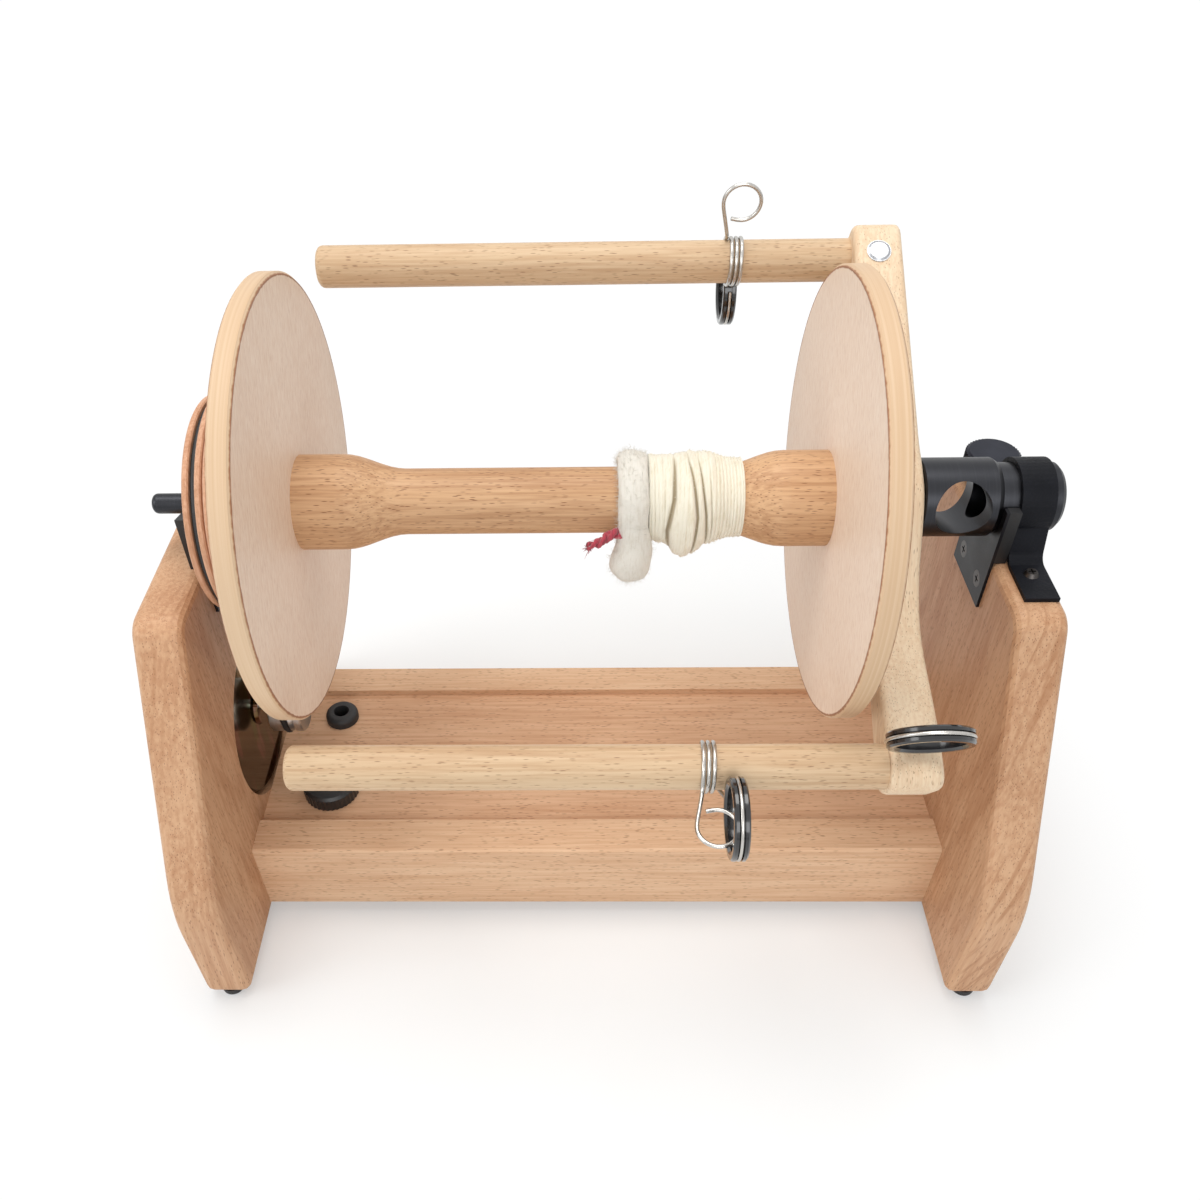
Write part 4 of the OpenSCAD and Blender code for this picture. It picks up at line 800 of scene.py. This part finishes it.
def pale_floor():
    """A pale floor that keeps the shadow under the object and fades to plain white further out."""
    bm = bmesh.new()
    bmesh.ops.create_grid(bm, x_segments=2, y_segments=2, size=8.0)
    mesh = bpy.data.meshes.new("floor")
    bm.to_mesh(mesh)
    bm.free()
    floor = bpy.data.objects.new("floor", mesh)
    floor.location.z = -0.2 * MM
    bpy.context.scene.collection.objects.link(floor)
    f = Finish("pale floor", (0.90, 0.92, 0.93), 0.9)
    seen = f.node("ShaderNodeLightPath", output="Is Camera Ray")
    x, y, _ = f.split(f.here())
    far = ((x * x + y * y) ** 0.5).between(0.22, 0.40, 0.28, 1.0)
    glow = f.node("ShaderNodeEmission", {"Color": (1, 1, 1, 1), "Strength": 1.02})
    out = f.tree.nodes["Material Output"]
    f.put(out.inputs["Surface"], f.node("ShaderNodeMixShader", {
        0: seen * far, 1: Val(f, f.shader.outputs[0]), 2: glow}))
    mesh.materials.append(f.material)


def soft_world():
    """Dim, even light from all round that looks white to the camera and in reflections."""
    world = bpy.data.worlds.new("studio")
    bpy.context.scene.world = world
    world.use_nodes = True
    tree = world.node_tree
    light = tree.nodes["Background"]
    light.inputs["Color"].default_value = (1.0, 0.99, 0.98, 1.0)
    light.inputs["Strength"].default_value = 0.50
    white = tree.nodes.new("ShaderNodeBackground")
    white.inputs["Color"].default_value = (1.0, 1.0, 1.0, 1.0)
    seen = tree.nodes.new("ShaderNodeLightPath")
    either = tree.nodes.new("ShaderNodeMath")
    either.operation = "MAXIMUM"
    tree.links.new(seen.outputs["Is Camera Ray"], either.inputs[0])
    tree.links.new(seen.outputs["Is Glossy Ray"], either.inputs[1])
    choice = tree.nodes.new("ShaderNodeMixShader")
    tree.links.new(either.outputs[0], choice.inputs[0])
    tree.links.new(light.outputs[0], choice.inputs[1])
    tree.links.new(white.outputs[0], choice.inputs[2])
    tree.links.new(choice.outputs[0], tree.nodes["World Output"].inputs["Surface"])


def lamp(name, place, aim, width, height, power, colour=(1, 1, 1)):
    """A flat soft lamp, in metres and watts, that faces its aim."""
    light = bpy.data.lights.new(name, "AREA")
    light.shape = "RECTANGLE"
    light.size = width
    light.size_y = height
    light.energy = power
    light.color = colour
    holder = bpy.data.objects.new(name, light)
    holder.location = place
    holder.rotation_mode = "QUATERNION"
    holder.rotation_quaternion = (Vector(aim) - Vector(place)).to_track_quat("-Z", "Y")
    bpy.context.scene.collection.objects.link(holder)


def photo_camera():
    """The camera at the photo's angle: a little to the left, above the axis and looking down."""
    data = bpy.data.cameras.new("camera")
    data.sensor_width = 36
    data.lens = 31.16
    data.shift_x = 0.03188
    data.shift_y = 0.04555
    data.clip_start = 0.02
    data.clip_end = 50
    camera = bpy.data.objects.new("camera", data)
    bpy.context.scene.collection.objects.link(camera)
    pitch, yaw, roll = (math.radians(a) for a in (43.81, -1.71, 1.48))
    ahead = Vector((math.sin(yaw) * math.cos(pitch), math.cos(yaw) * math.cos(pitch), -math.sin(pitch)))
    right = Vector((math.cos(yaw), -math.sin(yaw), 0))
    down = ahead.cross(right)
    right_rolled = right * math.cos(roll) + down * math.sin(roll)
    down_rolled = down * math.cos(roll) - right * math.sin(roll)
    turn = Matrix((right_rolled, -down_rolled, -ahead)).transposed().to_4x4()
    place = Vector((MIDDLE_X - 5.35 * MM, AXIS.y - 419.2 * MM, AXIS.z + 297.5 * MM))
    camera.matrix_world = Matrix.Translation(place) @ turn
    bpy.context.scene.camera = camera


bpy.context.scene.view_settings.view_transform = "Standard"
pale_floor()
soft_world()
lamp("top softbox", (-0.15, 0.25, 1.9), (0, 0, 0.2), 1.5, 1.0, 21.0, (1.0, 0.99, 0.97))
lamp("front softbox", (0.2, -1.9, 1.2), (0, 0, 0.15), 1.4, 1.0, 13.5, (0.99, 0.995, 1.0))
lamp("left softbox", (-1.8, -0.7, 1.1), (0, 0, 0.2), 0.9, 1.2, 9.5)
photo_camera()
